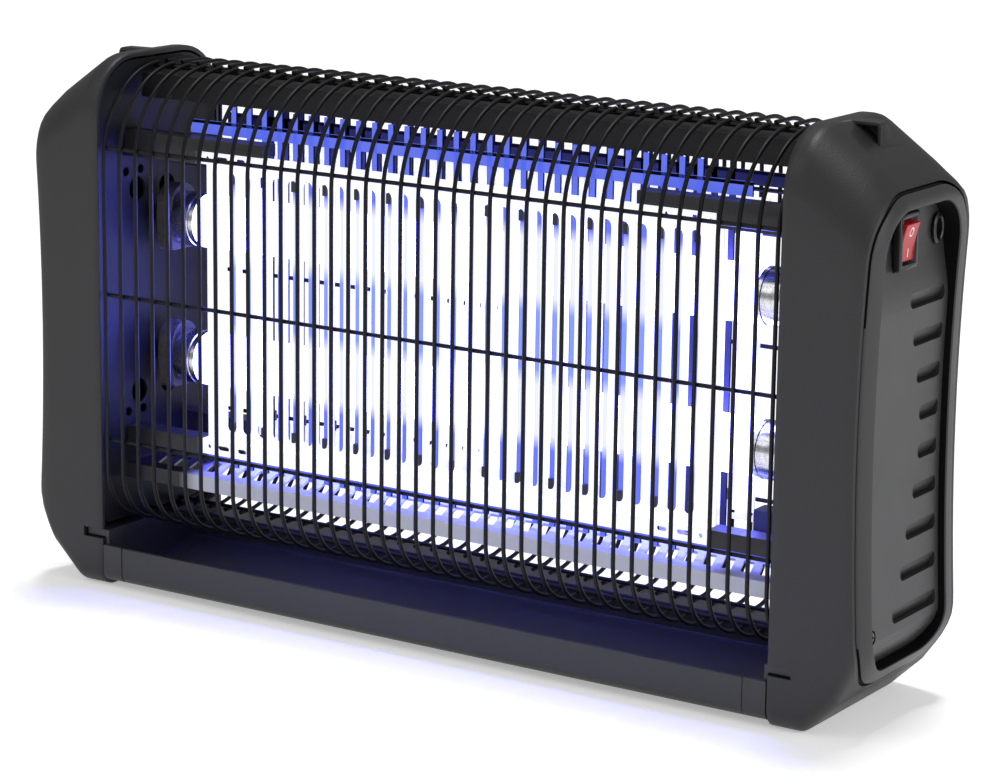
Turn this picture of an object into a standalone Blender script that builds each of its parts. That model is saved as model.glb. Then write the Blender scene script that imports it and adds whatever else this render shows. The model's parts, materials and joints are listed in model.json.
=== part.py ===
"""Electric bug zapper: two moulded end shells carry wire guards, electrode grids, two T8 tubes and a
collection tray. X runs along the length, -Y is the front, +Z is up, and the origin is on the floor
under the middle. The driving dimensions below are in millimetres, and the helpers turn them into
metres."""

import math

import bmesh
import bpy

MM = 0.001

# Overall form of the end shells, measured from the middle plane X = 0 outwards
HEIGHT = 255.0
HALF_DEPTH = 46.2
SHELL_INNER = 181.0
TOP_FLAT_END = 188.5
TOP_SLOPE = 0.695
FOOT_END = 196.5
FOOT_SLOPE = 0.966
TOP_RADIUS = 28.0
FOOT_RADIUS = 9.0
WALL = 2.2
GAP = 0.3
CORNER_STEPS = 4

# The side cover's rim and its bulged panel
WAIST_OUT = 221.2
WAIST_FLARE = 2.5
WAIST_Z = 130.0
WAIST_REACH = 80.0
CORNER_BLEND = 14.0
RIM_LOW, RIM_HIGH = 19.5, 228.8
RIM_HALF_DEPTH = 41.8
RIM_RADIUS = 26.0
RIM_WIDTH = 7.0
RIM_FALL, RIM_REAR_FALL = 3.2, 0.6
COVER_BACK = 203.0
PANEL_RECESS = 3.4
PANEL_THICK = 3.6
PANEL_TOP_DROP, PANEL_TOP_Z, PANEL_TOP_RUN = 5.5, 176.0, 36.0
PANEL_LOW_DROP, PANEL_LOW_Z, PANEL_LOW_RUN = 3.5, 42.0, 18.0
FINGER_LENGTHS = (29, 25, 20, 16, 16, 20, 25, 30, 39)
FINGER_TOP_Z = 181.0
FINGER_PITCH = 16.7
FINGER_HEIGHT = 4.6
FINGER_DEPTH = 2.0
FINGER_REAR_Y = 29.0
SCREW_PLACE = (-28.8, 43.0)

# Hanging ears on top of the shells
EAR_INNER, EAR_OUTER = 186.0, 203.0
EAR_FRONT, EAR_REAR = -3.0, 4.0

# Wire guards
WIRE_RADIUS = 1.0
WIRE_PITCH = 9.4
WIRES = 39
GUARD_DEPTH = 44.0
FRONT_BEND_Z, REAR_BEND_Z = 207.0, 222.0
FRONT_BEND_RADIUS, REAR_BEND_RADIUS = 42.5, 27.5
GUARD_LOW_CENTRE_Z = 58.0
GUARD_LOW_RADIUS = 27.0
GUARD_RAIL_HEIGHTS = (72.7, 143.0, 212.8)
REAR_TOP_RAIL_ANGLE = 56.0
GUARD_HALF_LENGTH = 180.0
RAIL_INSET = 1.5

# Channel over the top, and slotted base plate
CHANNEL_HALF_DEPTH = 14.0
CHANNEL_LOW, CHANNEL_HIGH = 234.0, 245.3
BASE_Z = 58.6
BASE_HALF_DEPTH = 29.0
BASE_FLANGE = 7.2
BASE_REAR_FLANGE = 4.6
BASE_SLOTS = 36
BASE_SLOT_END_Y = 20.5
SHEET = 1.2
BASE_SLOT_HALF_WIDTH = 2.6
BASE_SLOT_SLANT = 22.0
BASE_SLOT_LENGTH = 16.0

# Electrode grids
GRID_HALF_LENGTH = 138.5
GRID_FACE_Y = 23.0
GRID_PLATE_Y = 17.5
GRID_LOW, GRID_HIGH = 68.2, 213.0
GRID_SLOT_LOW, GRID_SLOT_HIGH = 78.5, 203.5
GRID_SLOTS = 29
GRID_PITCH = 8.9
GRID_SLOT_HALF_WIDTH = 2.9
COMB_HALF_WIDTH = 1.4
COMB_Y = 14.6
COMB_LOW, COMB_HIGH = 61.0, 233.5
COMB_RAILS = ((63.5, 66.5), (219.8, 226.0))
COMB_RAIL_HALF_LENGTH = 150.0
INSULATOR_INNER_Y, INSULATOR_OUTER_Y = 15.2, 25.5
FRONT_INSULATOR = (207.0, 219.0)
REAR_INSULATOR = (198.0, 208.0)
LOWER_INSULATOR = (66.0, 76.0)
TONGUE_REACH = 100.0

# Tubes and their holders
TUBE_HEIGHTS = {"upper": 175.5, "lower": 108.5}
TUBE_RADIUS = 13.0
GLASS_HALF_LENGTH = 151.0
CAP_END = 165.0
PIN_END = 171.5
PIN_OFFSET = 6.35
PIN_RADIUS = 1.2
HOLDER_FACE, HOLDER_BACK = 166.0, 175.4
HOLDER_HALF_WIDTH = 9.5
HOLDER_DROP, HOLDER_RISE = 15.0, 7.0
STUB_HALF_Y, STUB_HALF_Z = 3.0, 4.0
ROTOR_RADIUS = 7.6
ROTOR_FACE = 166.3
ROTOR_END = 173.0

# Inner panels, with a row of wiring holes by each tube; the lower row is the upper one turned over
PANEL_FACE, PANEL_BACK = 181.6, 183.2
PANEL_HALF_DEPTH = 43.4
PANEL_LOW, PANEL_HIGH = 31.0, 251.6
HOLES = ((-24.3, 0.0, 2.2), (-13.5, 0.2, 2.2), (-16.3, -9.0, 5.6), (6.0, -10.2, 5.6))
HOLE_ROWS = ((199.0, 1), (82.5, -1))

# Tray
TRAY_HALF_LENGTH = 169.2
TRAY_FRONT = -46.0
TRAY_REAR = 38.0
TRAY_LOW, TRAY_HIGH = 3.0, 21.0
TRAY_SIDE_HIGH = 28.0
TRAY_WALL = 2.0
TRAY_CORNER = 5.0
TRAY_FLOOR = ((-5.0, 5.2), (15.0, 12.6), (22.5, 12.6))
SHELF_FRONT, SHELF_Z, SHELF_FOOT = 21.5, 23.8, 14.0
RUNNER_OUTER = 180.6
FLANGE_OUTER = 191.6
FLANGE_LOW = 24.6
SLOT_LOW, SLOT_HIGH, SLOT_OUTER = 23.9, 28.8, 192.4
TRAY_RAIL_HALF, TRAY_RAIL_LOW = 43.0, 19.6

# Switch and cord inlet in the right side cover
SWITCH_Y, SWITCH_Z = -6.5, 207.5
SWITCH_SEAT, SWITCH_FACE = 216.0, 219.6
BEZEL = 2.0
SWITCH_HALF_Y, SWITCH_HALF_Z = 8.6, 12.2
ROCKER_HALF_Y, ROCKER_HALF_Z = 6.0, 9.2
ROCKER_PIVOT = 217.0
ROCKER_TILT = 10.0
INLET_Y, INLET_Z = 26.6, 208.0
INLET_RADIUS = 4.6
INLET_HOLE = 2.2
INLET_STANDS = 1.4
INLET_TALL = 1.5

COLOURS = {
    "shell": ((0.052, 0.052, 0.053), 0.42, 0.0),
    "cover": ((0.062, 0.062, 0.063), 0.40, 0.0),
    "wire": ((0.018, 0.018, 0.018), 0.35, 0.0),
    "steel_dark": ((0.03, 0.03, 0.04), 0.45, 0.0),
    "zinc": ((0.75, 0.76, 0.80), 0.35, 0.9),
    "live": ((0.55, 0.57, 0.75), 0.35, 0.9),
    "insulator": ((0.025, 0.025, 0.025), 0.5, 0.0),
    "holder": ((0.35, 0.35, 0.36), 0.5, 0.0),
    "rotor": ((0.8, 0.8, 0.8), 0.45, 0.0),
    "glass": ((0.85, 0.87, 1.0), 0.2, 0.0),
    "aluminium": ((0.8, 0.8, 0.82), 0.25, 1.0),
    "tray": ((0.075, 0.075, 0.077), 0.45, 0.0),
    "black": ((0.012, 0.012, 0.012), 0.4, 0.0),
    "red": ((0.5, 0.012, 0.03), 0.3, 0.0),
    "board": ((0.03, 0.16, 0.07), 0.5, 0.0),
    "screw": ((0.3, 0.3, 0.3), 0.35, 1.0),
}


def new_collection(name):
    collection = bpy.data.collections.new(name)
    bpy.context.scene.collection.children.link(collection)
    return collection


def clear_scene():
    for old in list(bpy.data.objects):
        bpy.data.objects.remove(old, do_unlink=True)


def material(slot):
    found = bpy.data.materials.get(slot)
    if found:
        return found
    colour, roughness, metallic = COLOURS[slot]
    made = bpy.data.materials.new(slot)
    made.use_nodes = True
    shader = made.node_tree.nodes["Principled BSDF"]
    shader.inputs["Base Color"].default_value = (*colour, 1.0)
    shader.inputs["Roughness"].default_value = roughness
    shader.inputs["Metallic"].default_value = metallic
    return made


def add_mesh(name, shape, slot=None, smooth=False):
    """Object from a bmesh in millimetres; with no slot it is a cutter."""
    bmesh.ops.scale(shape, vec=(MM, MM, MM), verts=shape.verts)
    bmesh.ops.recalc_face_normals(shape, faces=shape.faces)
    mesh = bpy.data.meshes.new(name)
    shape.to_mesh(mesh)
    shape.free()
    made = bpy.data.objects.new(name, mesh)
    if slot:
        parts.objects.link(made)
        mesh.materials.append(material(slot))
    else:
        cutters.objects.link(made)
        made.hide_render = True
        made.display_type = "WIRE"
    if smooth:
        mesh.shade_smooth()
        mesh.set_sharp_from_angle(angle=math.radians(35))
    return made


def box(name, low, high, slot=None):
    shape = bmesh.new()
    bmesh.ops.create_cube(shape, size=1.0)
    size = [high[i] - low[i] for i in range(3)]
    middle = [(high[i] + low[i]) / 2 for i in range(3)]
    bmesh.ops.scale(shape, vec=size, verts=shape.verts)
    bmesh.ops.translate(shape, vec=middle, verts=shape.verts)
    return add_mesh(name, shape, slot)


def side_box(name, side, near, far, low, high, slot=None):
    """Box between two distances from the middle plane, low and high being its (y, z) corners."""
    x_low, x_high = sorted((side * near, side * far))
    return box(name, (x_low, *low), (x_high, *high), slot)


def prism(name, points, axis, start, end, slot=None):
    """Solid from a flat outline in the plane across axis 0 (y, z) or 1 (x, z), between start and end."""
    shape = bmesh.new()
    rings = []
    for level in (start, end):
        ring = []
        for first, second in points:
            place = (level, first, second) if axis == 0 else (first, level, second)
            ring.append(shape.verts.new(place))
        rings.append(ring)
    join_rings(shape, rings)
    shape.faces.new(rings[0])
    shape.faces.new(rings[1])
    return add_mesh(name, shape, slot)


def cylinder(name, start, end, centre, radius, slot=None, segments=16, tall=1.0):
    """Cylinder along X at centre (y, z), or an oval one if it is some times as tall as it is wide."""
    points = []
    for i in range(segments):
        angle = 2 * math.pi * (i + 0.5) / segments
        points.append((centre[0] + radius * math.cos(angle), centre[1] + radius * tall * math.sin(angle)))
    made = prism(name, points, 0, start, end, slot)
    if slot:
        made.data.shade_smooth()
        made.data.set_sharp_from_angle(angle=math.radians(40))
    return made


def join_rings(shape, rings, closed=False):
    pairs = list(zip(rings, rings[1:]))
    if closed:
        pairs.append((rings[-1], rings[0]))
    for here, there in pairs:
        for i in range(len(here)):
            j = (i + 1) % len(here)
            shape.faces.new((here[i], here[j], there[j], there[i]))


def combine(target, others, operation="DIFFERENCE", keep=False):
    """Applies Booleans of others to target and removes them unless they are kept."""
    for other in others:
        modifier = target.modifiers.new(operation.lower(), "BOOLEAN")
        modifier.operation = operation
        modifier.object = other
    graph = bpy.context.evaluated_depsgraph_get()
    mesh = bpy.data.meshes.new_from_object(target.evaluated_get(graph))
    target.modifiers.clear()
    target.data = mesh
    if not keep:
        for other in others:
            bpy.data.objects.remove(other, do_unlink=True)
    return target


def place_origin(made, point):
    """Moves an object's origin to point, in millimetres, and leaves its surface where it is."""
    for vertex in made.data.vertices:
        for i in range(3):
            vertex.co[i] -= point[i] * MM
    made.location = [value * MM for value in point]


def rounded_outline(half_depth, low, high, top_radius, low_radius):
    """(y, z, y part of the outward normal) round a rectangle with round corners."""
    corners = (
        (half_depth - top_radius, high - top_radius, top_radius, 0),
        (-half_depth + top_radius, high - top_radius, top_radius, 90),
        (-half_depth + low_radius, low + low_radius, low_radius, 180),
        (half_depth - low_radius, low + low_radius, low_radius, 270),
    )
    points = []
    for y, z, radius, first in corners:
        for step in range(CORNER_STEPS + 1):
            angle = math.radians(first + 90 * step / CORNER_STEPS)
            points.append((y + radius * math.cos(angle), z + radius * math.sin(angle), math.cos(angle)))
    return points


def soft_min(first, second):
    blend = max(CORNER_BLEND - abs(first - second), 0) / CORNER_BLEND
    return min(first, second) - blend * blend * CORNER_BLEND / 4


def side_reach(z):
    """Distance from the middle plane to the cap's outer side at height z."""
    waist = WAIST_OUT + WAIST_FLARE * ((z - WAIST_Z) / WAIST_REACH) ** 2
    upper = TOP_FLAT_END + (HEIGHT - z) / TOP_SLOPE
    lower = FOOT_END + z / FOOT_SLOPE
    return soft_min(soft_min(waist, upper), lower)


def shell_top(reach):
    return HEIGHT - max(reach - TOP_FLAT_END, 0) * TOP_SLOPE


def shell_low(reach):
    return max(reach - FOOT_END, 0) * FOOT_SLOPE


def rim_edge(y_share, z):
    """The rim's outer edge falls away from the waist, more in front than behind."""
    fall = RIM_FALL if y_share < 0 else RIM_REAR_FALL
    return side_reach(z) - fall * abs(y_share)


def shell_ring(shape, side, reach, inset):
    half, top, low = HALF_DEPTH - inset, shell_top(reach) - inset, shell_low(reach) + inset
    outline = rounded_outline(half, low, top, TOP_RADIUS - inset, FOOT_RADIUS - inset / 2)
    return [shape.verts.new((side * reach, y, z)) for y, z, _ in outline]


def shell_mouth_ring(shape, side, inset):
    """Last ring of the shell, round the side cover's rim."""
    grow = GAP + 0.2 + WALL - inset
    outline = rounded_outline(
        RIM_HALF_DEPTH + grow, RIM_LOW - grow, RIM_HIGH + grow, RIM_RADIUS + grow, RIM_RADIUS + grow
    )
    return [shape.verts.new((side * (rim_edge(share, z) - 0.8), y, z)) for y, z, share in outline]


def end_shell(side, name):
    shape = bmesh.new()
    reaches = (SHELL_INNER, TOP_FLAT_END, FOOT_END, 205.0, 212.0)
    outer = [shell_ring(shape, side, reach, 0.0) for reach in reaches]
    outer.append(shell_mouth_ring(shape, side, 0.0))
    inner = [shell_ring(shape, side, reach, WALL) for reach in reaches]
    inner.append(shell_mouth_ring(shape, side, WALL))
    join_rings(shape, outer + inner[::-1], closed=True)
    shell = add_mesh(name, shape, "shell")
    ear_low = [shell_top(reach) - WALL / 2 for reach in (EAR_INNER, EAR_OUTER)]
    ear = prism(
        name + "_ear",
        [
            (side * EAR_INNER, ear_low[0]),
            (side * EAR_OUTER, ear_low[1]),
            (side * EAR_OUTER, HEIGHT - 2.0),
            (side * (EAR_OUTER - 2.0), HEIGHT - GAP),
            (side * EAR_INNER, HEIGHT - GAP),
        ],
        1,
        EAR_FRONT,
        EAR_REAR,
    )
    eye = prism(
        name + "_eye",
        [(side * 192.6, 252.7), (side * 200.8, 252.7), (side * 200.8, 247.0)],
        1,
        EAR_FRONT - 1,
        EAR_REAR + 1,
    )
    notch = side_box(
        name + "_notch",
        side,
        SHELL_INNER - 1,
        SLOT_OUTER,
        (-HALF_DEPTH - 1, SLOT_LOW),
        (-HALF_DEPTH + WALL + 1, SLOT_HIGH),
    )
    combine(shell, [ear], "UNION")
    return combine(shell, [eye, notch])


def cover_ring(shape, side, inset, reach_of):
    outline = rounded_outline(
        RIM_HALF_DEPTH - inset, RIM_LOW + inset, RIM_HIGH - inset, RIM_RADIUS - inset, RIM_RADIUS - inset
    )
    return [shape.verts.new((side * reach_of(share, z), y, z)) for y, z, share in outline]


def ease(share):
    share = min(max(share, 0.0), 1.0)
    return share * share * (3 - 2 * share)


def panel_reach(z):
    """The panel follows the waist, and is deeper at its top and bottom."""
    drop = PANEL_TOP_DROP * ease((z - PANEL_TOP_Z) / PANEL_TOP_RUN)
    drop += PANEL_LOW_DROP * ease((PANEL_LOW_Z - z) / PANEL_LOW_RUN)
    return side_reach(z) - PANEL_RECESS - drop


def cover_panel(name, side):
    """The recessed panel, as a strip trimmed to the rim's inner outline."""
    inset = RIM_WIDTH - 1.0
    low, high, steps = RIM_LOW + inset, RIM_HIGH - inset, 12
    heights = [low + (high - low) * i / steps for i in range(steps + 1)]
    front = [(side * panel_reach(z), z) for z in heights]
    back = [(side * (panel_reach(z) - PANEL_THICK), z) for z in reversed(heights)]
    half = RIM_HALF_DEPTH - inset
    strip = prism(name + "_panel", front + back, 1, -half, half)
    outline = rounded_outline(half, low, high, RIM_RADIUS - inset, RIM_RADIUS - inset)
    bounds = sorted((side * 200.0, side * 230.0))
    trim = prism(name + "_trim", [(y, z) for y, z, _ in outline], 0, *bounds)
    return combine(strip, [trim], "INTERSECT")


def finger_slots(name, side):
    made = []
    for i, length in enumerate(FINGER_LENGTHS):
        z = FINGER_TOP_Z - FINGER_PITCH * i
        floor = min(panel_reach(z - FINGER_HEIGHT / 2), panel_reach(z + FINGER_HEIGHT / 2)) - FINGER_DEPTH
        made.append(
            side_box(
                f"{name}_finger_{i}",
                side,
                floor,
                floor + 10,
                (FINGER_REAR_Y - length, z - FINGER_HEIGHT / 2),
                (FINGER_REAR_Y, z + FINGER_HEIGHT / 2),
            )
        )
    return made


def side_cover(side, name):
    shape = bmesh.new()
    rings = [
        cover_ring(shape, side, 0.0, lambda share, z: COVER_BACK),
        cover_ring(shape, side, 0.0, lambda share, z: rim_edge(share, z)),
        cover_ring(shape, side, 3.0, lambda share, z: side_reach(z) - 0.6),
        cover_ring(shape, side, RIM_WIDTH, lambda share, z: side_reach(z)),
        cover_ring(shape, side, RIM_WIDTH + 1.2, lambda share, z: COVER_BACK + 4),
        cover_ring(shape, side, 2.4, lambda share, z: COVER_BACK + 3),
        cover_ring(shape, side, 2.4, lambda share, z: COVER_BACK),
    ]
    join_rings(shape, rings, closed=True)
    cover = add_mesh(name, shape, "cover")
    combine(cover, [cover_panel(name, side)], "UNION")
    holes = finger_slots(name, side)
    holes.append(cylinder(name + "_screw_hole", *side_span(side, 200, 230), SCREW_PLACE, 1.9, None, 8))
    if side > 0:
        for near, inset in ((SWITCH_SEAT - GAP, -GAP), (200.0, BEZEL - GAP)):
            low = (SWITCH_Y - SWITCH_HALF_Y + inset, SWITCH_Z - SWITCH_HALF_Z + inset)
            high = (SWITCH_Y + SWITCH_HALF_Y - inset, SWITCH_Z + SWITCH_HALF_Z - inset)
            holes.append(side_box(f"{name}_switch_hole_{near:.0f}", side, near, 230.0, low, high))
        inlet = (INLET_Y, INLET_Z)
        holes.append(cylinder(name + "_inlet_hole", 200, 230, inlet, INLET_RADIUS - 1.2, tall=INLET_TALL))
    return combine(cover, holes)


def side_span(side, near, far):
    return sorted((side * near, side * far))


def cover_screw(side, name):
    face = panel_reach(SCREW_PLACE[1])
    head = cylinder(name, *side_span(side, face + 0.4, face + 1.9), SCREW_PLACE, 2.9, "screw", 12)
    shank = cylinder(name + "_shank", *side_span(side, face - 9, face + 1.0), SCREW_PLACE, 1.5, None, 8)
    cross = side_box(
        name + "_cross",
        side,
        face + 1.1,
        face + 3,
        (SCREW_PLACE[0] - 3.2, SCREW_PLACE[1] - 0.4),
        (SCREW_PLACE[0] + 3.2, SCREW_PLACE[1] + 0.4),
    )
    combine(head, [shank], "UNION")
    return combine(head, [cross])


def inner_panel(side, name):
    outline = rounded_outline(PANEL_HALF_DEPTH, PANEL_LOW, PANEL_HIGH, TOP_RADIUS - WALL - 1, 4.0)
    points = [(y, z) for y, z, _ in outline]
    panel = prism(name, points, 0, *side_span(side, PANEL_FACE, PANEL_BACK), "steel_dark")
    holes = []
    for row, (middle, turn) in enumerate(HOLE_ROWS):
        for i, (y, z, radius) in enumerate(HOLES):
            through = side_span(side, PANEL_FACE - 3, PANEL_BACK + 3)
            holes.append(cylinder(f"{name}_hole_{row}{i}", *through, (y, middle + turn * z), radius, None, 8))
    return combine(panel, holes)


def wire_path(sign):
    """(y, z) along one guard wire, from under the base up, over the top and on to the middle."""
    path = [(sign * (GUARD_DEPTH - GUARD_LOW_RADIUS - 7.0), GUARD_LOW_CENTRE_Z - GUARD_LOW_RADIUS)]
    low_y = GUARD_DEPTH - GUARD_LOW_RADIUS
    for angle in (270, 315, 360):
        a = math.radians(angle)
        path.append(
            (
                sign * (low_y + GUARD_LOW_RADIUS * math.cos(a)),
                GUARD_LOW_CENTRE_Z + GUARD_LOW_RADIUS * math.sin(a),
            )
        )
    bend_z, radius = top_bend(sign)
    for angle in (0, 30, 60, 88):
        a = math.radians(angle)
        y = GUARD_DEPTH - radius + radius * math.cos(a)
        path.append((sign * y, bend_z + radius * math.sin(a)))
    if sign > 0:
        path.append((3.0, path[-1][1]))
    return path


def top_bend(sign):
    """(height where it starts, radius) of a guard's bend over the top: wide in front, tight behind."""
    if sign < 0:
        return FRONT_BEND_Z, FRONT_BEND_RADIUS
    return REAR_BEND_Z, REAR_BEND_RADIUS


def wires(name, paths):
    """One mesh of separate round wires along paths of (x, y, z) points."""
    curve = bpy.data.curves.new(name, "CURVE")
    curve.dimensions = "3D"
    curve.bevel_depth = WIRE_RADIUS * MM
    curve.bevel_resolution = 0
    curve.use_fill_caps = True
    for path in paths:
        spline = curve.splines.new("POLY")
        spline.points.add(len(path) - 1)
        for point, place in zip(spline.points, path):
            point.co = (*[value * MM for value in place], 1.0)
    guide = bpy.data.objects.new(name + "_curve", curve)
    cutters.objects.link(guide)
    graph = bpy.context.evaluated_depsgraph_get()
    mesh = bpy.data.meshes.new_from_object(guide.evaluated_get(graph))
    bpy.data.objects.remove(guide, do_unlink=True)
    shape = bmesh.new()
    shape.from_mesh(mesh)
    bmesh.ops.remove_doubles(shape, verts=shape.verts, dist=1e-6)
    bmesh.ops.scale(shape, vec=(1 / MM, 1 / MM, 1 / MM), verts=shape.verts)
    return shape


def guard(sign, name):
    path = wire_path(sign)
    middle = (WIRES - 1) / 2
    uprights = [[((i - middle) * WIRE_PITCH, y, z) for y, z in path] for i in range(WIRES)]
    made = add_mesh(name, wires(name, uprights), "wire", smooth=True)
    inset_y = sign * (GUARD_DEPTH - RAIL_INSET)
    places = [(inset_y, z) for z in GUARD_RAIL_HEIGHTS]
    if sign > 0:
        a = math.radians(REAR_TOP_RAIL_ANGLE)
        bend_z, radius = top_bend(sign)
        y = GUARD_DEPTH - radius + (radius - RAIL_INSET) * math.cos(a)
        places.append((y, bend_z + (radius - RAIL_INSET) * math.sin(a)))
    rails = [[(-GUARD_HALF_LENGTH, y, z), (GUARD_HALF_LENGTH, y, z)] for y, z in places]
    return combine(made, [add_mesh(name + "_rails", wires(name + "_rails", rails))], "UNION")


def folded_channel(name, half_length, half_depth, low, rear_low, high, slot):
    """Inverted U of sheet metal, open below, whose front and rear flanges end at two heights."""
    points = [
        (-half_depth, low),
        (-half_depth, high),
        (half_depth, high),
        (half_depth, rear_low),
        (half_depth - SHEET, rear_low),
        (half_depth - SHEET, high - SHEET),
        (-half_depth + SHEET, high - SHEET),
        (-half_depth + SHEET, low),
    ]
    return prism(name, points, 0, -half_length, half_length, slot)


def base_plate():
    flanges = (BASE_Z - BASE_FLANGE, BASE_Z - BASE_REAR_FLANGE)
    made = folded_channel("base_plate", GUARD_HALF_LENGTH, BASE_HALF_DEPTH, *flanges, BASE_Z, "zinc")
    count, cutters_made = BASE_SLOTS, bmesh.new()
    lean = BASE_SLOT_LENGTH * math.tan(math.radians(BASE_SLOT_SLANT))
    for sign in (-1, 1):
        near, far = sign * BASE_SLOT_END_Y, sign * (BASE_SLOT_END_Y - BASE_SLOT_LENGTH)
        for i in range(count):
            x = (i - (count - 1) / 2) * WIRE_PITCH
            rings = []
            for z in (BASE_Z - 3, BASE_Z + 1):
                corners = (
                    (x - BASE_SLOT_HALF_WIDTH, near),
                    (x + BASE_SLOT_HALF_WIDTH, near),
                    (x + BASE_SLOT_HALF_WIDTH - lean, far),
                    (x - BASE_SLOT_HALF_WIDTH - lean, far),
                )
                rings.append([cutters_made.verts.new((cx, cy, z)) for cx, cy in corners])
            join_rings(cutters_made, rings)
            cutters_made.faces.new(rings[0])
            cutters_made.faces.new(rings[1])
    return combine(made, [add_mesh("base_slots", cutters_made)])


def electrode_plate(sign, name):
    """Slotted sheet with a Z-shaped fold along its top and its bottom."""
    face, plate = GRID_FACE_Y, GRID_PLATE_Y
    ledge_low, ledge_high = GRID_LOW + 7.0, GRID_HIGH - 6.0
    profile = [
        (face, GRID_LOW),
        (face, ledge_low),
        (plate, ledge_low),
        (plate, ledge_high),
        (face, ledge_high),
        (face, GRID_HIGH),
        (face - SHEET, GRID_HIGH),
        (face - SHEET, ledge_high + SHEET),
        (plate - SHEET, ledge_high + SHEET),
        (plate - SHEET, ledge_low - SHEET),
        (face - SHEET, ledge_low - SHEET),
        (face - SHEET, GRID_LOW),
    ]
    points = [(sign * y, z) for y, z in profile]
    made = prism(name, points, 0, -GRID_HALF_LENGTH, GRID_HALF_LENGTH, "zinc")
    slots = bmesh.new()
    for i in range(GRID_SLOTS):
        x = (i - (GRID_SLOTS - 1) / 2) * GRID_PITCH
        ends = sorted((sign * (plate + 1), sign * (plate - 2)))
        corners = (
            (x - GRID_SLOT_HALF_WIDTH, GRID_SLOT_LOW),
            (x + GRID_SLOT_HALF_WIDTH, GRID_SLOT_LOW),
            (x + GRID_SLOT_HALF_WIDTH, GRID_SLOT_HIGH),
            (x - GRID_SLOT_HALF_WIDTH, GRID_SLOT_HIGH),
        )
        rings = [[slots.verts.new((cx, y, cz)) for cx, cz in corners] for y in ends]
        join_rings(slots, rings)
        slots.faces.new(rings[0])
        slots.faces.new(rings[1])
    return combine(made, [add_mesh(name + "_slots", slots)])


def live_comb(sign, name):
    """Upright live bars, one behind each slot, joined by two thin rails that reach the insulators."""
    ends = sorted((sign * COMB_Y, sign * (COMB_Y - SHEET)))
    half = (GRID_SLOTS - 1) / 2 * GRID_PITCH + COMB_HALF_WIDTH
    made = box(name, (-half, ends[0], COMB_LOW), (half, ends[1], COMB_HIGH), "live")
    rails = []
    for low, high in COMB_RAILS:
        low_corner = (-COMB_RAIL_HALF_LENGTH, ends[0], low)
        rails.append(box(f"{name}_rail_{low:.0f}", low_corner, (COMB_RAIL_HALF_LENGTH, ends[1], high)))
    windows = bmesh.new()
    (first, second), (third, fourth) = COMB_RAILS
    for low, high in ((COMB_LOW - 1, first), (second, third), (fourth, COMB_HIGH + 1)):
        for i in range(GRID_SLOTS - 1):
            x = (i + 0.5 - (GRID_SLOTS - 1) / 2) * GRID_PITCH
            window = bmesh.ops.create_cube(windows, size=1.0)["verts"]
            size = (GRID_PITCH - 2 * COMB_HALF_WIDTH, 3 * SHEET, high - low)
            bmesh.ops.scale(windows, vec=size, verts=window)
            bmesh.ops.translate(windows, vec=(x, sum(ends) / 2, (low + high) / 2), verts=window)
    combine(made, [add_mesh(name + "_windows", windows)])
    return combine(made, rails, "UNION")


def insulator(side, sign, name, low, high, inner=None):
    """Block from the electrode plate's end to the inner panel, with a tongue over the plate."""
    ends = sorted((sign * INSULATOR_INNER_Y, sign * INSULATOR_OUTER_Y))
    reaches = (GRID_HALF_LENGTH + 0.6, PANEL_FACE - GAP)
    made = side_box(name, side, *reaches, (ends[0], low), (ends[1], high), "insulator")
    if inner:
        tongue = side_box(
            name + "_tongue", side, inner, GRID_HALF_LENGTH + 2, (ends[0], GRID_HIGH + GAP), (ends[1], high)
        )
        combine(made, [tongue], "UNION")
    return made


def tube_holder(side, name, z):
    """Upright block with a round top and a recess for the rotor, on a stub from the inner panel."""
    points = [(-HOLDER_HALF_WIDTH, z - HOLDER_DROP), (HOLDER_HALF_WIDTH, z - HOLDER_DROP)]
    for step in range(9):
        angle = math.pi * step / 8
        y = HOLDER_HALF_WIDTH * math.cos(angle)
        points.append((y, z + HOLDER_RISE + HOLDER_HALF_WIDTH * math.sin(angle)))
    made = prism(name, points, 0, *side_span(side, HOLDER_FACE, HOLDER_BACK), "holder")
    stub = side_box(
        name + "_stub",
        side,
        HOLDER_BACK - 1,
        PANEL_FACE - GAP,
        (-STUB_HALF_Y, z - STUB_HALF_Z),
        (STUB_HALF_Y, z + STUB_HALF_Z),
    )
    combine(made, [stub], "UNION")
    ends = side_span(side, HOLDER_FACE - 1, ROTOR_END + GAP)
    return combine(made, [cylinder(name + "_recess", *ends, (0, z), ROTOR_RADIUS + 0.5)])


def tube_rotor(side, name, z):
    """Disc that the tube's pins turn, with a slot right across it."""
    made = cylinder(name, *side_span(side, ROTOR_FACE, ROTOR_END), (0, z), ROTOR_RADIUS, "rotor", 16)
    slot = side_box(name + "_slot", side, ROTOR_FACE - 1, ROTOR_END - 1.2, (-1.6, z - 10), (1.6, z + 10))
    combine(made, [slot])
    place_origin(made, (0, 0, z))
    return made


def tube(level, z):
    glass = cylinder(
        f"{level}_tube_glass", -GLASS_HALF_LENGTH, GLASS_HALF_LENGTH, (0, z), TUBE_RADIUS - 0.2, "glass", 20
    )
    place_origin(glass, (0, 0, z))
    for side, word in SIDES:
        name = f"{level}_tube_{word}_cap"
        cap = cylinder(
            name, *side_span(side, GLASS_HALF_LENGTH + GAP, CAP_END), (0, z), TUBE_RADIUS, "aluminium", 20
        )
        pins = []
        for turn in (-1, 1):
            reaches = side_span(side, CAP_END - 1, PIN_END)
            place = (0, z + turn * PIN_OFFSET)
            pins.append(cylinder(f"{name}_pin_{turn}", *reaches, place, PIN_RADIUS, None, 8))
        combine(cap, pins, "UNION")
        place_origin(cap, (0, 0, z))
        tube_holder(side, f"{level}_{word}_tube_holder", z)
        tube_rotor(side, f"{level}_{word}_tube_rotor", z)


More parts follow.
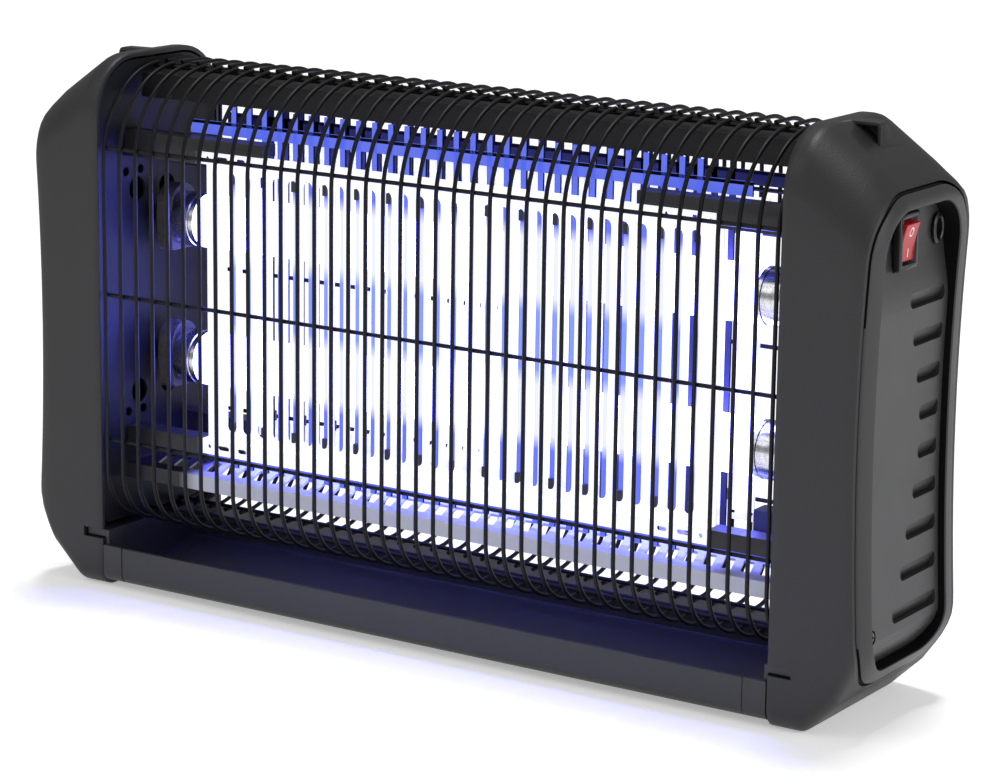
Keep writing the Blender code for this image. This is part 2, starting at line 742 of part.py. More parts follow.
def tray_profile():
    """(y, z) section of the pan, a bent sheet: round lower front edge, rising floor, raised rear shelf."""
    corner_y, corner_z = TRAY_FRONT + TRAY_CORNER, TRAY_LOW + TRAY_CORNER
    outer, inner = [(TRAY_FRONT, TRAY_HIGH)], []
    for step in range(4):
        a = math.radians(180 + 30 * step)
        outer.append((corner_y + TRAY_CORNER * math.cos(a), corner_z + TRAY_CORNER * math.sin(a)))
        radius = TRAY_CORNER - TRAY_WALL
        inner.insert(0, (corner_y + radius * math.cos(a), corner_z + radius * math.sin(a)))
    outer += [(y, z - TRAY_WALL) for y, z in TRAY_FLOOR]
    outer += [(SHELF_FRONT + TRAY_WALL, SHELF_Z - TRAY_WALL), (TRAY_REAR - TRAY_WALL, SHELF_Z - TRAY_WALL)]
    outer += [(TRAY_REAR - TRAY_WALL, SHELF_FOOT), (TRAY_REAR, SHELF_FOOT), (TRAY_REAR, SHELF_Z)]
    outer.append((SHELF_FRONT, SHELF_Z))
    outer += [(y - TRAY_WALL * (y > TRAY_FLOOR[1][0]), z) for y, z in reversed(TRAY_FLOOR)]
    return outer + inner + [(TRAY_FRONT + TRAY_WALL, TRAY_HIGH)]


def runner_side():
    """(y, z) outline of a runner's outer wall."""
    front, low, corner = TRAY_FRONT, TRAY_LOW, TRAY_CORNER
    step = front + TRAY_WALL
    outline = [(front, TRAY_HIGH), (front, low + corner), (front + corner, low), (TRAY_REAR, low)]
    return outline + [(TRAY_REAR, TRAY_SIDE_HIGH), (step, TRAY_SIDE_HIGH), (step, TRAY_HIGH)]


def tray():
    half = TRAY_HALF_LENGTH
    prism("tray_pan", tray_profile(), 0, -half, half, "tray")
    for side, word in SIDES:
        name = f"{word}_tray_runner"
        runner = prism(name, tray_profile(), 0, *side_span(side, half + GAP, RUNNER_OUTER - 1), "tray")
        wall_span = side_span(side, RUNNER_OUTER - TRAY_WALL, RUNNER_OUTER)
        wall = prism(name + "_wall", runner_side(), 0, *wall_span)
        flange = side_box(
            name + "_flange",
            side,
            RUNNER_OUTER - 1,
            FLANGE_OUTER,
            (TRAY_FRONT + 2, FLANGE_LOW),
            (TRAY_REAR, TRAY_SIDE_HIGH),
        )
        combine(runner, [wall, flange], "UNION")
        reaches = (SHELL_INNER + 1.0, FLANGE_OUTER + 1.2)
        low, high = (-TRAY_RAIL_HALF, TRAY_RAIL_LOW), (TRAY_RAIL_HALF, FLANGE_LOW - GAP)
        side_box(f"{word}_tray_rail", side, *reaches, low, high, "steel_dark")


def switch():
    face = SWITCH_FACE
    frame = box(
        "switch_frame",
        (SWITCH_SEAT, SWITCH_Y - SWITCH_HALF_Y, SWITCH_Z - SWITCH_HALF_Z),
        (face, SWITCH_Y + SWITCH_HALF_Y, SWITCH_Z + SWITCH_HALF_Z),
        "black",
    )
    body = box(
        "switch_body",
        (SHELL_INNER + 17, SWITCH_Y - SWITCH_HALF_Y + BEZEL, SWITCH_Z - SWITCH_HALF_Z + BEZEL),
        (face - 1, SWITCH_Y + SWITCH_HALF_Y - BEZEL, SWITCH_Z + SWITCH_HALF_Z - BEZEL),
    )
    well = box(
        "switch_well",
        (face - 9.0, SWITCH_Y - ROCKER_HALF_Y - 0.4, SWITCH_Z - ROCKER_HALF_Z - 0.5),
        (face + 5, SWITCH_Y + ROCKER_HALF_Y + 0.4, SWITCH_Z + ROCKER_HALF_Z + 0.5),
    )
    combine(frame, [body], "UNION")
    combine(frame, [well])
    # The rocker's two faces meet over its pivot; at rest its upper end stands out
    reach = ROCKER_HALF_Z - 1.0
    outline = [(-4.2, 0.0), (-3.0, -reach), (2.4, -reach), (1.8, 0.0), (2.4, reach), (-3.0, reach)]
    tilt = math.radians(-ROCKER_TILT)
    points = []
    for out, up in outline:
        points.append(
            (
                ROCKER_PIVOT + 0.6 + out * math.cos(tilt) - up * math.sin(tilt),
                SWITCH_Z + out * math.sin(tilt) + up * math.cos(tilt),
            )
        )
    rocker = prism("switch_rocker", points, 1, SWITCH_Y - ROCKER_HALF_Y, SWITCH_Y + ROCKER_HALF_Y, "red")
    place_origin(rocker, (ROCKER_PIVOT, SWITCH_Y, SWITCH_Z))


def cord_inlet():
    """Round bush whose lip lies on the panel, bored right through."""
    centre = (INLET_Y, INLET_Z)
    half_height = INLET_RADIUS * INLET_TALL
    seat = panel_reach(INLET_Z + half_height) - 5
    lip_back = panel_reach(INLET_Z - half_height) + 0.4
    face = lip_back + INLET_STANDS
    made = cylinder("cord_inlet", seat, face, centre, INLET_RADIUS - 1.6, "black", tall=INLET_TALL)
    lip = cylinder("inlet_lip", lip_back, face, centre, INLET_RADIUS, tall=INLET_TALL)
    bore = cylinder("inlet_bore", seat - 1, face + 1, centre, INLET_HOLE, tall=INLET_TALL)
    combine(made, [lip], "UNION")
    combine(made, [bore])


def electronics():
    """Boards and their large components, on the outer face of the right inner panel."""
    near = PANEL_BACK + GAP
    side_box("high_voltage_board", 1, near + 1, near + 2.6, (-30, 60), (24, 130), "board")
    side_box("high_voltage_transformer", 1, near + 2.9, near + 20, (-24, 94), (0, 122), "black")
    side_box("storage_capacitor", 1, near + 2.9, near + 14, (4, 90), (20, 122), "rotor")
    side_box("tube_ballast", 1, near + 1, near + 20, (-24, 140), (20, 188), "black")


SIDES = ((-1, "left"), (1, "right"))
clear_scene()
parts = new_collection("bug_zapper")
cutters = new_collection("cutters")
cutters.hide_render = True

for side, word in SIDES:
    end_shell(side, f"{word}_end_shell")
    side_cover(side, f"{word}_side_cover")
    cover_screw(side, f"{word}_cover_screw")
    inner_panel(side, f"{word}_inner_panel")
for sign, word in ((-1, "front"), (1, "rear")):
    guard(sign, f"{word}_guard")
    electrode_plate(sign, f"{word}_electrode_plate")
    live_comb(sign, f"{word}_live_comb")
    for side, end in SIDES:
        if sign < 0:
            insulator(side, sign, f"{word}_{end}_upper_insulator", *FRONT_INSULATOR, TONGUE_REACH)
        else:
            insulator(side, sign, f"{word}_{end}_upper_insulator", *REAR_INSULATOR)
        insulator(side, sign, f"{word}_{end}_lower_insulator", *LOWER_INSULATOR)
channel_heights = (CHANNEL_LOW, CHANNEL_LOW, CHANNEL_HIGH)
folded_channel("top_channel", GUARD_HALF_LENGTH, CHANNEL_HALF_DEPTH, *channel_heights, "steel_dark")
base_plate()
for level, height in TUBE_HEIGHTS.items():
    tube(level, height)
tray()
switch()
cord_inlet()
electronics()
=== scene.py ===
"""Visual model of the bug zapper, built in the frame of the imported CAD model. Lengths in the constants
and in the shapes are millimetres from the CAD origin, and MM turns them into metres."""

import json
import math

import bmesh
import bpy
from mathutils import Matrix, Vector


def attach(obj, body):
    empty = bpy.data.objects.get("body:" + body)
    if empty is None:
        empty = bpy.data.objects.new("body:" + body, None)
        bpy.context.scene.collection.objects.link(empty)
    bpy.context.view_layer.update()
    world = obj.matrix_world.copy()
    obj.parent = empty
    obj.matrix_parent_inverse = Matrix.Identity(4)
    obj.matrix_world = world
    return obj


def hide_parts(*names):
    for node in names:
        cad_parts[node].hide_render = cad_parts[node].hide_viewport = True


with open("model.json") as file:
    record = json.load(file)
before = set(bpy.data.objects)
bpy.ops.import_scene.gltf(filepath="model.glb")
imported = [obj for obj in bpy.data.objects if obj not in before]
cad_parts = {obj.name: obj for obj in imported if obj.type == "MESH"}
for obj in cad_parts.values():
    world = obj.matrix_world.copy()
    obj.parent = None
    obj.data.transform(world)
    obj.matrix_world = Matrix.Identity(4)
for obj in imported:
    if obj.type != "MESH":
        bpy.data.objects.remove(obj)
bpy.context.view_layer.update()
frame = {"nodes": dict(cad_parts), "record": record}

MM = 0.001
SIDES = ((-1, "left"), (1, "right"))
FACES = ((-1, "front"), (1, "rear"))

# End shells and side covers
HEIGHT = 255.0
HALF_DEPTH = 46.2
SHELL_INNER = 181.0
TOP_FLAT_END, TOP_SLOPE = 188.5, 0.695
FOOT_END, FOOT_SLOPE = 196.5, 0.966
EDGE_SOFTNESS = 2.0
TOP_RADIUS, FOOT_RADIUS = 28.0, 9.0
WALL = 2.2
SHOULDER = 212.0
WAIST_OUT, WAIST_FLARE, WAIST_Z, WAIST_REACH = 221.2, 2.5, 130.0, 80.0
CORNER_BLEND = 14.0
RIM_LOW, RIM_HIGH, RIM_HALF_DEPTH, RIM_RADIUS = 19.5, 228.8, 41.8, 26.0
RIM_WIDTH, RIM_FALL, RIM_REAR_FALL = 7.0, 3.2, 0.6
EAR_OUTLINE = ((186.0, 250.0), (203.0, 240.0), (203.0, 252.6), (202.2, 254.2), (200.6, 254.7), (186.0, 254.9))
EAR_FRONT, EAR_REAR, EAR_BEVEL = -3.0, 4.0, 0.5
EYE_OUTLINE = ((191.0, 253.0), (201.2, 253.2), (201.4, 245.6))
EYE_FRONT, EYE_REAR = -5.0, 2.8
PARTING = 1.1
COVER_BACK = 203.0
PANEL_RECESS, PANEL_THICK = 3.4, 3.6
PANEL_TOP_DROP, PANEL_TOP_Z, PANEL_TOP_RUN = 5.5, 176.0, 36.0
PANEL_LOW_DROP, PANEL_LOW_Z, PANEL_LOW_RUN = 3.5, 42.0, 18.0
LOUVRE_LENGTHS = (32, 27.5, 22, 18, 18, 22, 28, 33, 41)
LOUVRE_TOP_Z, LOUVRE_PITCH, LOUVRE_REAR_Y = 181.0, 16.7, 31.0
LOUVRE_HEIGHT, LOUVRE_DEPTH, LOUVRE_RADIUS = 6.6, 3.2, 2.6
SCREW_Y, SCREW_Z = -28.8, 43.0

# Guards
WIRES, WIRE_PITCH, WIRE_RADIUS = 39, 9.4, 1.0
GUARD_DEPTH, GUARD_HALF_LENGTH = 44.0, 180.0
TOP_BENDS = {-1: (207.0, 42.5), 1: (222.0, 27.5)}
LOW_BEND_Z, LOW_BEND_RADIUS = 58.0, 27.0
RAIL_INSET = 1.7
REAR_RUN_END = 3.0
RAIL_HEIGHTS = (72.7, 143.0, 212.8)
REAR_TOP_RAIL_ANGLE, TOP_RAIL_RADIUS, TOP_RAIL_GAP = 56.0, 1.3, 0.3
WIRE_RUN_IN, END_RAIL_INSET = 7.0, 1.2

# Grids
GRID_HALF_LENGTH = 138.5
GRID_FACE_Y, GRID_PLATE_Y = 23.0, 17.5
GRID_LOW, GRID_HIGH = 68.2, 213.0
RAIL_FACE = 7.0
SLOT_LOW, SLOT_HIGH = 78.5, 203.5
SLOTS, SLOT_PITCH, SLOT_HALF_WIDTH = 29, 8.9, 2.9
SHEET = 1.2
COMB_Y, COMB_LOW, COMB_HIGH, COMB_HALF_WIDTH = 14.6, 61.0, 233.5, 1.4
COMB_RAILS, COMB_RAIL_HALF_LENGTH = ((63.5, 66.5), (219.8, 226.0)), 150.0
# Height of the strip along each comb rail's top; the upper rail's strip carries painted shade
COMB_TOP_EDGE = 1.5
TAB_HEIGHTS, TAB_SIZE, TAB_STAND = (81.0, 200.0), (2.6, 1.8, 5.0), 0.9
INSULATOR_BEVEL = 0.6

# Tubes
TUBE_HEIGHTS = {"upper": 175.5, "lower": 108.5}
TUBE_RADIUS, GLASS_END, CAP_END, PIN_END = 13.0, 151.0, 165.0, 171.5
PIN_RADIUS, PIN_OFF_AXIS = 1.2, 6.35
HOLDER_FACE, HOLDER_BACK, HOLDER_RADIUS = 166.0, 175.4, 9.5
HOLDER_DROP, HOLDER_RISE, STUB_END = 15.0, 7.0, 181.3
ROTOR_RADIUS, ROTOR_FACE, ROTOR_END = 7.6, 166.3, 173.0
LAMP_COLOUR = (0.11, 0.12, 1.0)
LAMP_STRENGTH = 27.0
# Glow that stands in for overexposure on the plates and bars next to the lamps
ZINC_GLOW = ((0.93, 0.94, 1.0), 0.60)
LIVE_BLUE, LIVE_PALE, LIVE_WHITE = (0.10, 0.15, 0.85), (0.22, 0.32, 0.95), (0.90, 0.93, 1.0)
LIVE_GLOW = (LIVE_BLUE, 0.9)
# Base plate colours: painted shade at its left end, and a lit colour elsewhere
BASE_PAINTED_SHADE, BASE_LIT = (0.015, 0.015, 0.02), (0.62, 0.64, 0.72)

# Inner panels, with a row of wiring holes by each tube; the lower row is the upper one turned over
PANEL_FACE, PANEL_BACK = 181.6, 183.2
INNER_PANEL_OUTLINE = (43.4, 31.0, 251.6, 24.8, 4.0)
HOLES = ((-24.3, 0.0, 2.2), (-13.5, 0.2, 2.2), (-16.3, -9.0, 5.8), (6.0, -10.2, 5.8))
HOLE_ROWS = ((199.0, 1), (82.5, -1))

# Tray
TRAY_HALF_LENGTH, TRAY_FRONT, TRAY_REAR = 169.2, -46.0, 38.0
TRAY_LOW, TRAY_HIGH, TRAY_SIDE_HIGH, TRAY_WALL, TRAY_CORNER = 3.0, 21.0, 28.0, 2.0, 5.0
TRAY_FLOOR = ((-5.0, 5.2), (15.0, 12.6), (22.5, 12.6))
SHELF_FRONT, SHELF_Z, SHELF_FOOT = 21.5, 23.8, 14.0
RUNNER_OUTER, FLANGE_OUTER, FLANGE_LOW = 180.6, 191.6, 24.6
NOTCH_LOW, NOTCH_HIGH, NOTCH_OUTER = 23.9, 28.8, 192.4

# Switch and inlet
SWITCH_Y, SWITCH_Z, SWITCH_SEAT, SWITCH_FACE = -6.5, 207.5, 216.0, 219.6
SWITCH_HALF_Y, SWITCH_HALF_Z, SWITCH_BACK, BEZEL = 8.6, 12.2, 198.0, 2.0
ROCKER_HALF_Y, ROCKER_HALF_Z, ROCKER_PIVOT, ROCKER_TILT = 6.0, 9.2, 217.0, 10.0
INLET_Y, INLET_Z, INLET_RADIUS, INLET_HOLE, INLET_TALL = 26.6, 208.0, 4.6, 3.1, 1.5

# Materials
DRIFT_LOW, DRIFT_HIGH = 0.3, 0.7
COAT_ROUGHNESS, GRAIN_HEIGHT = 0.12, 0.0002

# Studio
FLOOR_HALF = 6.0
FLOOR_GLOW = ((1.0, 1.0, 1.0), 0.36)
WORLD_STRENGTH = 0.30
SUN_STRENGTH, SUN_ANGLE, SUN_PLACE = 1.5, 12, (-0.05, 0.20, 1.0)
# Name, place, size and power of each area light, aimed at a point on the middle of the object
AREA_LIGHTS = (("key", (-0.9, -1.6, 1.7), 1.6, 10.0), ("side", (1.9, -0.2, 0.9), 1.2, 12.0))
LIGHT_AIM = (0, 0, 0.12)

# Camera, in metres and degrees
CAMERA_PLACE = (0.7894, -1.1864, 0.4415)
CAMERA_AZIMUTH, CAMERA_ELEVATION, CAMERA_ROLL = 33.12, 12.93, 0.78
CAMERA_LENS = 115.67


# ---------------------------------------------------------------- materials


def node(tree, kind, **settings):
    made = tree.nodes.new(kind)
    for key, value in settings.items():
        setattr(made, key, value)
    return made


def noise(tree, scale, detail=2.0, stretch=(1, 1, 1)):
    """Noise of a given number of features to the metre, stretched along the axes."""
    place = node(tree, "ShaderNodeTexCoord")
    mapping = node(tree, "ShaderNodeMapping")
    mapping.inputs["Scale"].default_value = stretch
    tree.links.new(place.outputs["Object"], mapping.inputs["Vector"])
    made = node(tree, "ShaderNodeTexNoise")
    made.inputs["Scale"].default_value = scale
    made.inputs["Detail"].default_value = detail
    tree.links.new(mapping.outputs["Vector"], made.inputs["Vector"])
    return made.outputs["Fac"]


def spread(tree, source, low, high):
    """Maps a noise's middle range to low..high, as a number or a colour."""
    ramp = node(tree, "ShaderNodeMapRange") if isinstance(low, float) else None
    if ramp:
        ramp.inputs["From Min"].default_value = DRIFT_LOW
        ramp.inputs["From Max"].default_value = DRIFT_HIGH
        ramp.inputs["To Min"].default_value = low
        ramp.inputs["To Max"].default_value = high
        tree.links.new(source, ramp.inputs["Value"])
        return ramp.outputs["Result"]
    ramp = node(tree, "ShaderNodeValToRGB")
    ramp.color_ramp.elements[0].position = DRIFT_LOW
    ramp.color_ramp.elements[0].color = (*low, 1.0)
    ramp.color_ramp.elements[1].position = DRIFT_HIGH
    ramp.color_ramp.elements[1].color = (*high, 1.0)
    tree.links.new(source, ramp.inputs["Fac"])
    return ramp.outputs["Color"]


def surface(name, colour, roughness, vary=0.06, wide=40.0, grain=0.0, grain_scale=1400.0,
            stretch=(1, 1, 1), metallic=0.0, coat=0.0, glow=None, specular=0.5):
    """Principled material whose colour and roughness drift over the surface, with a fine relief."""
    made = bpy.data.materials.new("look_" + name)
    made.use_nodes = True
    tree = made.node_tree
    shader = tree.nodes["Principled BSDF"]
    shader.inputs["Metallic"].default_value = metallic
    shader.inputs["Coat Weight"].default_value = coat
    shader.inputs["Coat Roughness"].default_value = COAT_ROUGHNESS
    shader.inputs["Specular IOR Level"].default_value = specular
    drift = noise(tree, wide, 4.0, stretch)
    low = tuple(value * (1 - vary) for value in colour)
    high = tuple(value * (1 + vary) for value in colour)
    tree.links.new(spread(tree, drift, low, high), shader.inputs["Base Color"])
    rough = spread(tree, drift, roughness * (1 - vary), roughness * (1 + vary))
    tree.links.new(rough, shader.inputs["Roughness"])
    if grain:
        bump = node(tree, "ShaderNodeBump")
        bump.inputs["Strength"].default_value = grain
        bump.inputs["Distance"].default_value = GRAIN_HEIGHT
        tree.links.new(noise(tree, grain_scale, 3.0, stretch), bump.inputs["Height"])
        tree.links.new(bump.outputs["Normal"], shader.inputs["Normal"])
    if glow:
        shader.inputs["Emission Color"].default_value = (*glow[0], 1.0)
        shader.inputs["Emission Strength"].default_value = glow[1]
    return made


# Painted blue lamplight, a faint glow on the rear top rail
LIT_GLOW = ((0.09, 0.08, 0.50), 0.8)
DRAWN = (1, 1, 0.1)
def zoned(made, socket, axis, low, high, stops):
    """Drives one input of a material by bands along an object's axis, given as (share, colour)."""
    tree = made.node_tree
    place = node(tree, "ShaderNodeTexCoord")
    split = node(tree, "ShaderNodeSeparateXYZ")
    tree.links.new(place.outputs["Object"], split.inputs["Vector"])
    scale = node(tree, "ShaderNodeMapRange")
    scale.inputs["From Min"].default_value = low * MM
    scale.inputs["From Max"].default_value = high * MM
    tree.links.new(split.outputs[axis], scale.inputs["Value"])
    ramp = node(tree, "ShaderNodeValToRGB")
    while len(ramp.color_ramp.elements) < len(stops):
        ramp.color_ramp.elements.new(1.0)
    for element, (share, colour) in zip(ramp.color_ramp.elements, stops):
        element.position = share
        element.color = (*colour, 1.0)
    tree.links.new(scale.outputs["Result"], ramp.inputs["Fac"])
    tree.links.new(ramp.outputs["Color"], tree.nodes["Principled BSDF"].inputs[socket])


LOOKS = {
    "shell": surface("shell", (0.019, 0.019, 0.0195), 0.48, grain=0.5, specular=0.42),
    "cover": surface("cover", (0.026, 0.026, 0.0265), 0.42, grain=0.5),
    "wire": surface("wire", (0.004, 0.004, 0.004), 0.40, grain=0.15, grain_scale=500.0, specular=0.22),
    "steel_dark": surface("steel_dark", (0.007, 0.007, 0.008), 0.5, grain=0.2, specular=0.3),
    "zinc": surface("zinc", (0.88, 0.89, 0.92), 0.45, wide=90.0, grain=0.1, stretch=DRAWN, glow=ZINC_GLOW),
    "live": surface("live", (0.030, 0.034, 0.060), 0.4, wide=90.0, grain=0.1, stretch=DRAWN, glow=LIVE_GLOW),
    "base": surface("base", (0.30, 0.32, 0.42), 0.4, wide=90.0, grain=0.1, stretch=DRAWN),
    "insulator": surface("insulator", (0.016, 0.016, 0.017), 0.38, grain=0.2),
    "holder": surface("holder", (0.060, 0.056, 0.054), 0.5, vary=0.4, wide=900.0, grain=0.5),
    "rotor": surface("rotor", (0.75, 0.75, 0.75), 0.4, grain=0.1),
    "glass": surface("glass", (0.85, 0.87, 1.0), 0.25, grain=0.05, glow=(LAMP_COLOUR, LAMP_STRENGTH)),
    "aluminium": surface("aluminium", (0.80, 0.80, 0.82), 0.22, wide=120.0, grain=0.1, metallic=1.0),
    "tray": surface("tray", (0.030, 0.030, 0.030), 0.44, grain=0.4, specular=0.42),
    "black": surface("black", (0.010, 0.010, 0.010), 0.3, grain=0.1),
    "red": surface("red", (0.42, 0.012, 0.022), 0.32, grain=0.05, coat=0.1, specular=0.3),
    "board": surface("board", (0.03, 0.16, 0.07), 0.5, grain=0.1),
    "screw": surface("screw", (0.10, 0.10, 0.10), 0.35, wide=600.0, grain=0.1, metallic=0.9),
    "mark": surface("mark", (0.80, 0.80, 0.80), 0.5),
    # Painted shade for the recess walls, the comb bars' right sides and a rail edge
    "painted_shade": surface("painted_shade", (0.002, 0.002, 0.002), 0.9, specular=0.1),
    # Painted blue lamplight for the rear top rail
    "lit": surface("lit", (0.02, 0.02, 0.03), 0.4, glow=LIT_GLOW),
    "rear_live": surface("rear_live", (0.010, 0.011, 0.02), 0.4, wide=90.0, grain=0.1, stretch=DRAWN),
}
# Bands stand in for the lamps' glare on the live bars, and the base plate's left end gets painted shade
glare = [(0.0, LIVE_BLUE), (0.20, LIVE_BLUE), (0.24, LIVE_WHITE), (0.37, LIVE_WHITE), (0.41, LIVE_PALE)]
glare += [(0.56, LIVE_PALE), (0.60, LIVE_WHITE), (0.75, LIVE_WHITE), (0.79, LIVE_BLUE), (1.0, LIVE_BLUE)]
zoned(LOOKS["live"], "Emission Color", "Z", COMB_LOW, COMB_HIGH, glare)
lit = [(0.0, BASE_PAINTED_SHADE), (0.09, BASE_PAINTED_SHADE), (0.12, BASE_LIT), (1.0, BASE_LIT)]
zoned(LOOKS["base"], "Base Color", "X", -GUARD_HALF_LENGTH, GUARD_HALF_LENGTH, lit)
for entry in frame["record"]["subparts"]:
    carried = frame["nodes"][entry["node"]]
    carried.data.materials.clear()
    look = "base" if entry["node"] == "base_plate" else entry["material_slot"]
    carried.data.materials.append(LOOKS[look])


# ---------------------------------------------------------------- shape helpers


def span(side, near, far):
    return sorted((side * near, side * far))


def lerp(first, second, share):
    return first + (second - first) * share


def to_object(name, shape, material=None):
    """Object from a bmesh in millimetres. Cutters have no material."""
    bmesh.ops.scale(shape, vec=(MM, MM, MM), verts=shape.verts)
    bmesh.ops.recalc_face_normals(shape, faces=shape.faces)
    mesh = bpy.data.meshes.new(name)
    shape.to_mesh(mesh)
    shape.free()
    made = bpy.data.objects.new(name, mesh)
    bpy.context.scene.collection.objects.link(made)
    if material:
        mesh.materials.append(LOOKS[material])
    return made


def finish_piece(made, body, nodes=(), bevel=0.0, sharp=35.0, segments=2):
    """Smooths and bevels a piece, and hangs it on its CAD body."""
    made.data.shade_smooth()
    made.data.set_sharp_from_angle(angle=math.radians(sharp))
    if bevel:
        add_bevel(made, bevel, segments)
    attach(made, body)
    if nodes:
        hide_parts(*nodes)
    return made


def add_bevel(made, width, segments=2):
    modifier = made.modifiers.new("edges", "BEVEL")
    modifier.width = width * MM
    modifier.segments = segments
    modifier.limit_method = "ANGLE"
    modifier.angle_limit = math.radians(40)
    modifier.harden_normals = True


def join_rings(shape, rings, closed=False):
    pairs = list(zip(rings, rings[1:]))
    if closed:
        pairs.append((rings[-1], rings[0]))
    for here, there in pairs:
        for i in range(len(here)):
            j = (i + 1) % len(here)
            shape.faces.new((here[i], here[j], there[j], there[i]))


def loft(name, rings, material=None, closed=False):
    """Skin through rings of (x, y, z) points, with flat ends unless it closes on itself."""
    shape = bmesh.new()
    verts = [[shape.verts.new(point) for point in ring] for ring in rings]
    join_rings(shape, verts, closed)
    if not closed:
        shape.faces.new(verts[0])
        shape.faces.new(verts[-1])
    return to_object(name, shape, material)


def prism(name, points, axis, start, end, material=None):
    """Solid from an outline in the plane across axis 0 (y, z), 1 (x, z) or 2 (x, y)."""
    rings = []
    for level in (start, end):
        ring = [list(point) for point in points]
        for point in ring:
            point.insert(axis, level)
        rings.append(ring)
    return loft(name, rings, material)


def box(name, low, high, material=None):
    outline = [(low[1], low[2]), (high[1], low[2]), (high[1], high[2]), (low[1], high[2])]
    return prism(name, outline, 0, low[0], high[0], material)


def lathe(name, profile, centre, side, material=None, steps=48):
    """Turns (distance along X, radius) round an axis along X at centre (y, z)."""
    rings = []
    for reach, radius in profile:
        ring = []
        for i in range(steps):
            angle = 2 * math.pi * i / steps
            y = centre[0] + radius * math.cos(angle)
            z = centre[1] + radius * math.sin(angle)
            ring.append((side * reach, y, z))
        rings.append(ring)
    return loft(name, rings, material)


def add_block(shape, centre, size):
    cube = bmesh.ops.create_cube(shape, size=1.0)["verts"]
    bmesh.ops.scale(shape, vec=size, verts=cube)
    bmesh.ops.translate(shape, vec=centre, verts=cube)


def combine(target, others, operation="DIFFERENCE"):
    for other in others:
        modifier = target.modifiers.new(operation.lower(), "BOOLEAN")
        modifier.operation = operation
        modifier.object = other
    graph = bpy.context.evaluated_depsgraph_get()
    mesh = bpy.data.meshes.new_from_object(target.evaluated_get(graph))
    target.modifiers.clear()
    target.data = mesh
    for other in others:
        bpy.data.objects.remove(other, do_unlink=True)
    return target


def round_slot(centre, half_width, half_length, steps=6, turn=0.0):
    """Outline of a slot with round ends, its length along the second axis turned by degrees."""
    points = []
    for way in (1, -1):
        for i in range(steps + 1):
            angle = math.pi * i / steps + (0 if way > 0 else math.pi)
            along = way * (half_length - half_width) + half_width * math.sin(angle)
            points.append((half_width * math.cos(angle), along))
    c, s = math.cos(math.radians(turn)), math.sin(math.radians(turn))
    return [(centre[0] + c * a - s * b, centre[1] + s * a + c * b) for a, b in points]


def rounded_outline(half_depth, low, high, top_radius, low_radius, steps=10):
    """(y, z, y part of the outward normal) round a rectangle with round corners."""
    corners = (
        (half_depth - top_radius, high - top_radius, top_radius, 0),
        (-half_depth + top_radius, high - top_radius, top_radius, 90),
        (-half_depth + low_radius, low + low_radius, low_radius, 180),
        (half_depth - low_radius, low + low_radius, low_radius, 270),
    )
    points = []
    for i, (y, z, radius, first) in enumerate(corners):
        for step in range(steps + 1):
            angle = math.radians(first + 90 * step / steps)
            points.append((y + radius * math.cos(angle), z + radius * math.sin(angle), math.cos(angle)))
        if i in (0, 2):
            continue
        # Points down the long sides, so that the waist can bend them
        ahead = corners[(i + 1) % 4]
        y_end = ahead[0] + ahead[2] * math.cos(math.radians(ahead[3]))
        z_end = ahead[1] + ahead[2] * math.sin(math.radians(ahead[3]))
        y_start, z_start, share = points[-1]
        for step in range(1, 12):
            points.append((lerp(y_start, y_end, step / 12), lerp(z_start, z_end, step / 12), share))
    return points


# ---------------------------------------------------------------- end shells and covers


def soft_step(distance, softness):
    """Zero below, a straight line above, and a smooth bend between."""
    if distance <= -softness:
        return 0.0
    if distance >= softness:
        return distance
    return (distance + softness) ** 2 / (4 * softness)


def soft_min(first, second):
    blend = max(CORNER_BLEND - abs(first - second), 0) / CORNER_BLEND
    return min(first, second) - blend * blend * CORNER_BLEND / 4


def side_reach(z):
    """Distance from the middle plane to the cap's outer side at height z."""
    waist = WAIST_OUT + WAIST_FLARE * ((z - WAIST_Z) / WAIST_REACH) ** 2
    upper = TOP_FLAT_END + (HEIGHT - z) / TOP_SLOPE
    lower = FOOT_END + z / FOOT_SLOPE
    return soft_min(soft_min(waist, upper), lower)


def shell_top(reach):
    return HEIGHT - soft_step(reach - TOP_FLAT_END, EDGE_SOFTNESS) * TOP_SLOPE


def shell_low(reach):
    return soft_step(reach - FOOT_END, EDGE_SOFTNESS) * FOOT_SLOPE


def rim_edge(y_share, z):
    """The rim's outer edge falls away from the waist, more in front than behind."""
    return side_reach(z) - rim_fall(y_share)


def rim_fall(y_share):
    return (RIM_FALL if y_share < 0 else RIM_REAR_FALL) * abs(y_share)


def shell_section(reach, inset):
    outline = rounded_outline(
        HALF_DEPTH - inset,
        shell_low(reach) + inset,
        shell_top(reach) - inset,
        TOP_RADIUS - inset,
        FOOT_RADIUS - inset / 2,
    )
    return [(reach, y, z) for y, z, _ in outline]


def mouth_section(inset):
    grow = PARTING + WALL - inset
    outline = rounded_outline(
        RIM_HALF_DEPTH + grow, RIM_LOW - grow, RIM_HIGH + grow, RIM_RADIUS + grow, RIM_RADIUS + grow
    )
    return [(rim_edge(share, z) - 0.8, y, z) for y, z, share in outline]


def shoulder_sections(inset, steps):
    """Rings that roll the shell's front and rear round into its mouth."""
    start, end = shell_section(SHOULDER, inset), mouth_section(inset)
    rings = []
    for step in range(1, steps + 1):
        share = step / steps
        roll = 1 - math.sqrt(1 - share * share * 0.98)
        roll /= 1 - math.sqrt(0.02)
        ring = []
        for a, b in zip(start, end):
            ring.append((lerp(a[0], b[0], share), lerp(a[1], b[1], roll), lerp(a[2], b[2], share)))
        rings.append(ring)
    return rings


def sided(rings, side):
    return [[(side * x, y, z) for x, y, z in ring] for ring in rings]


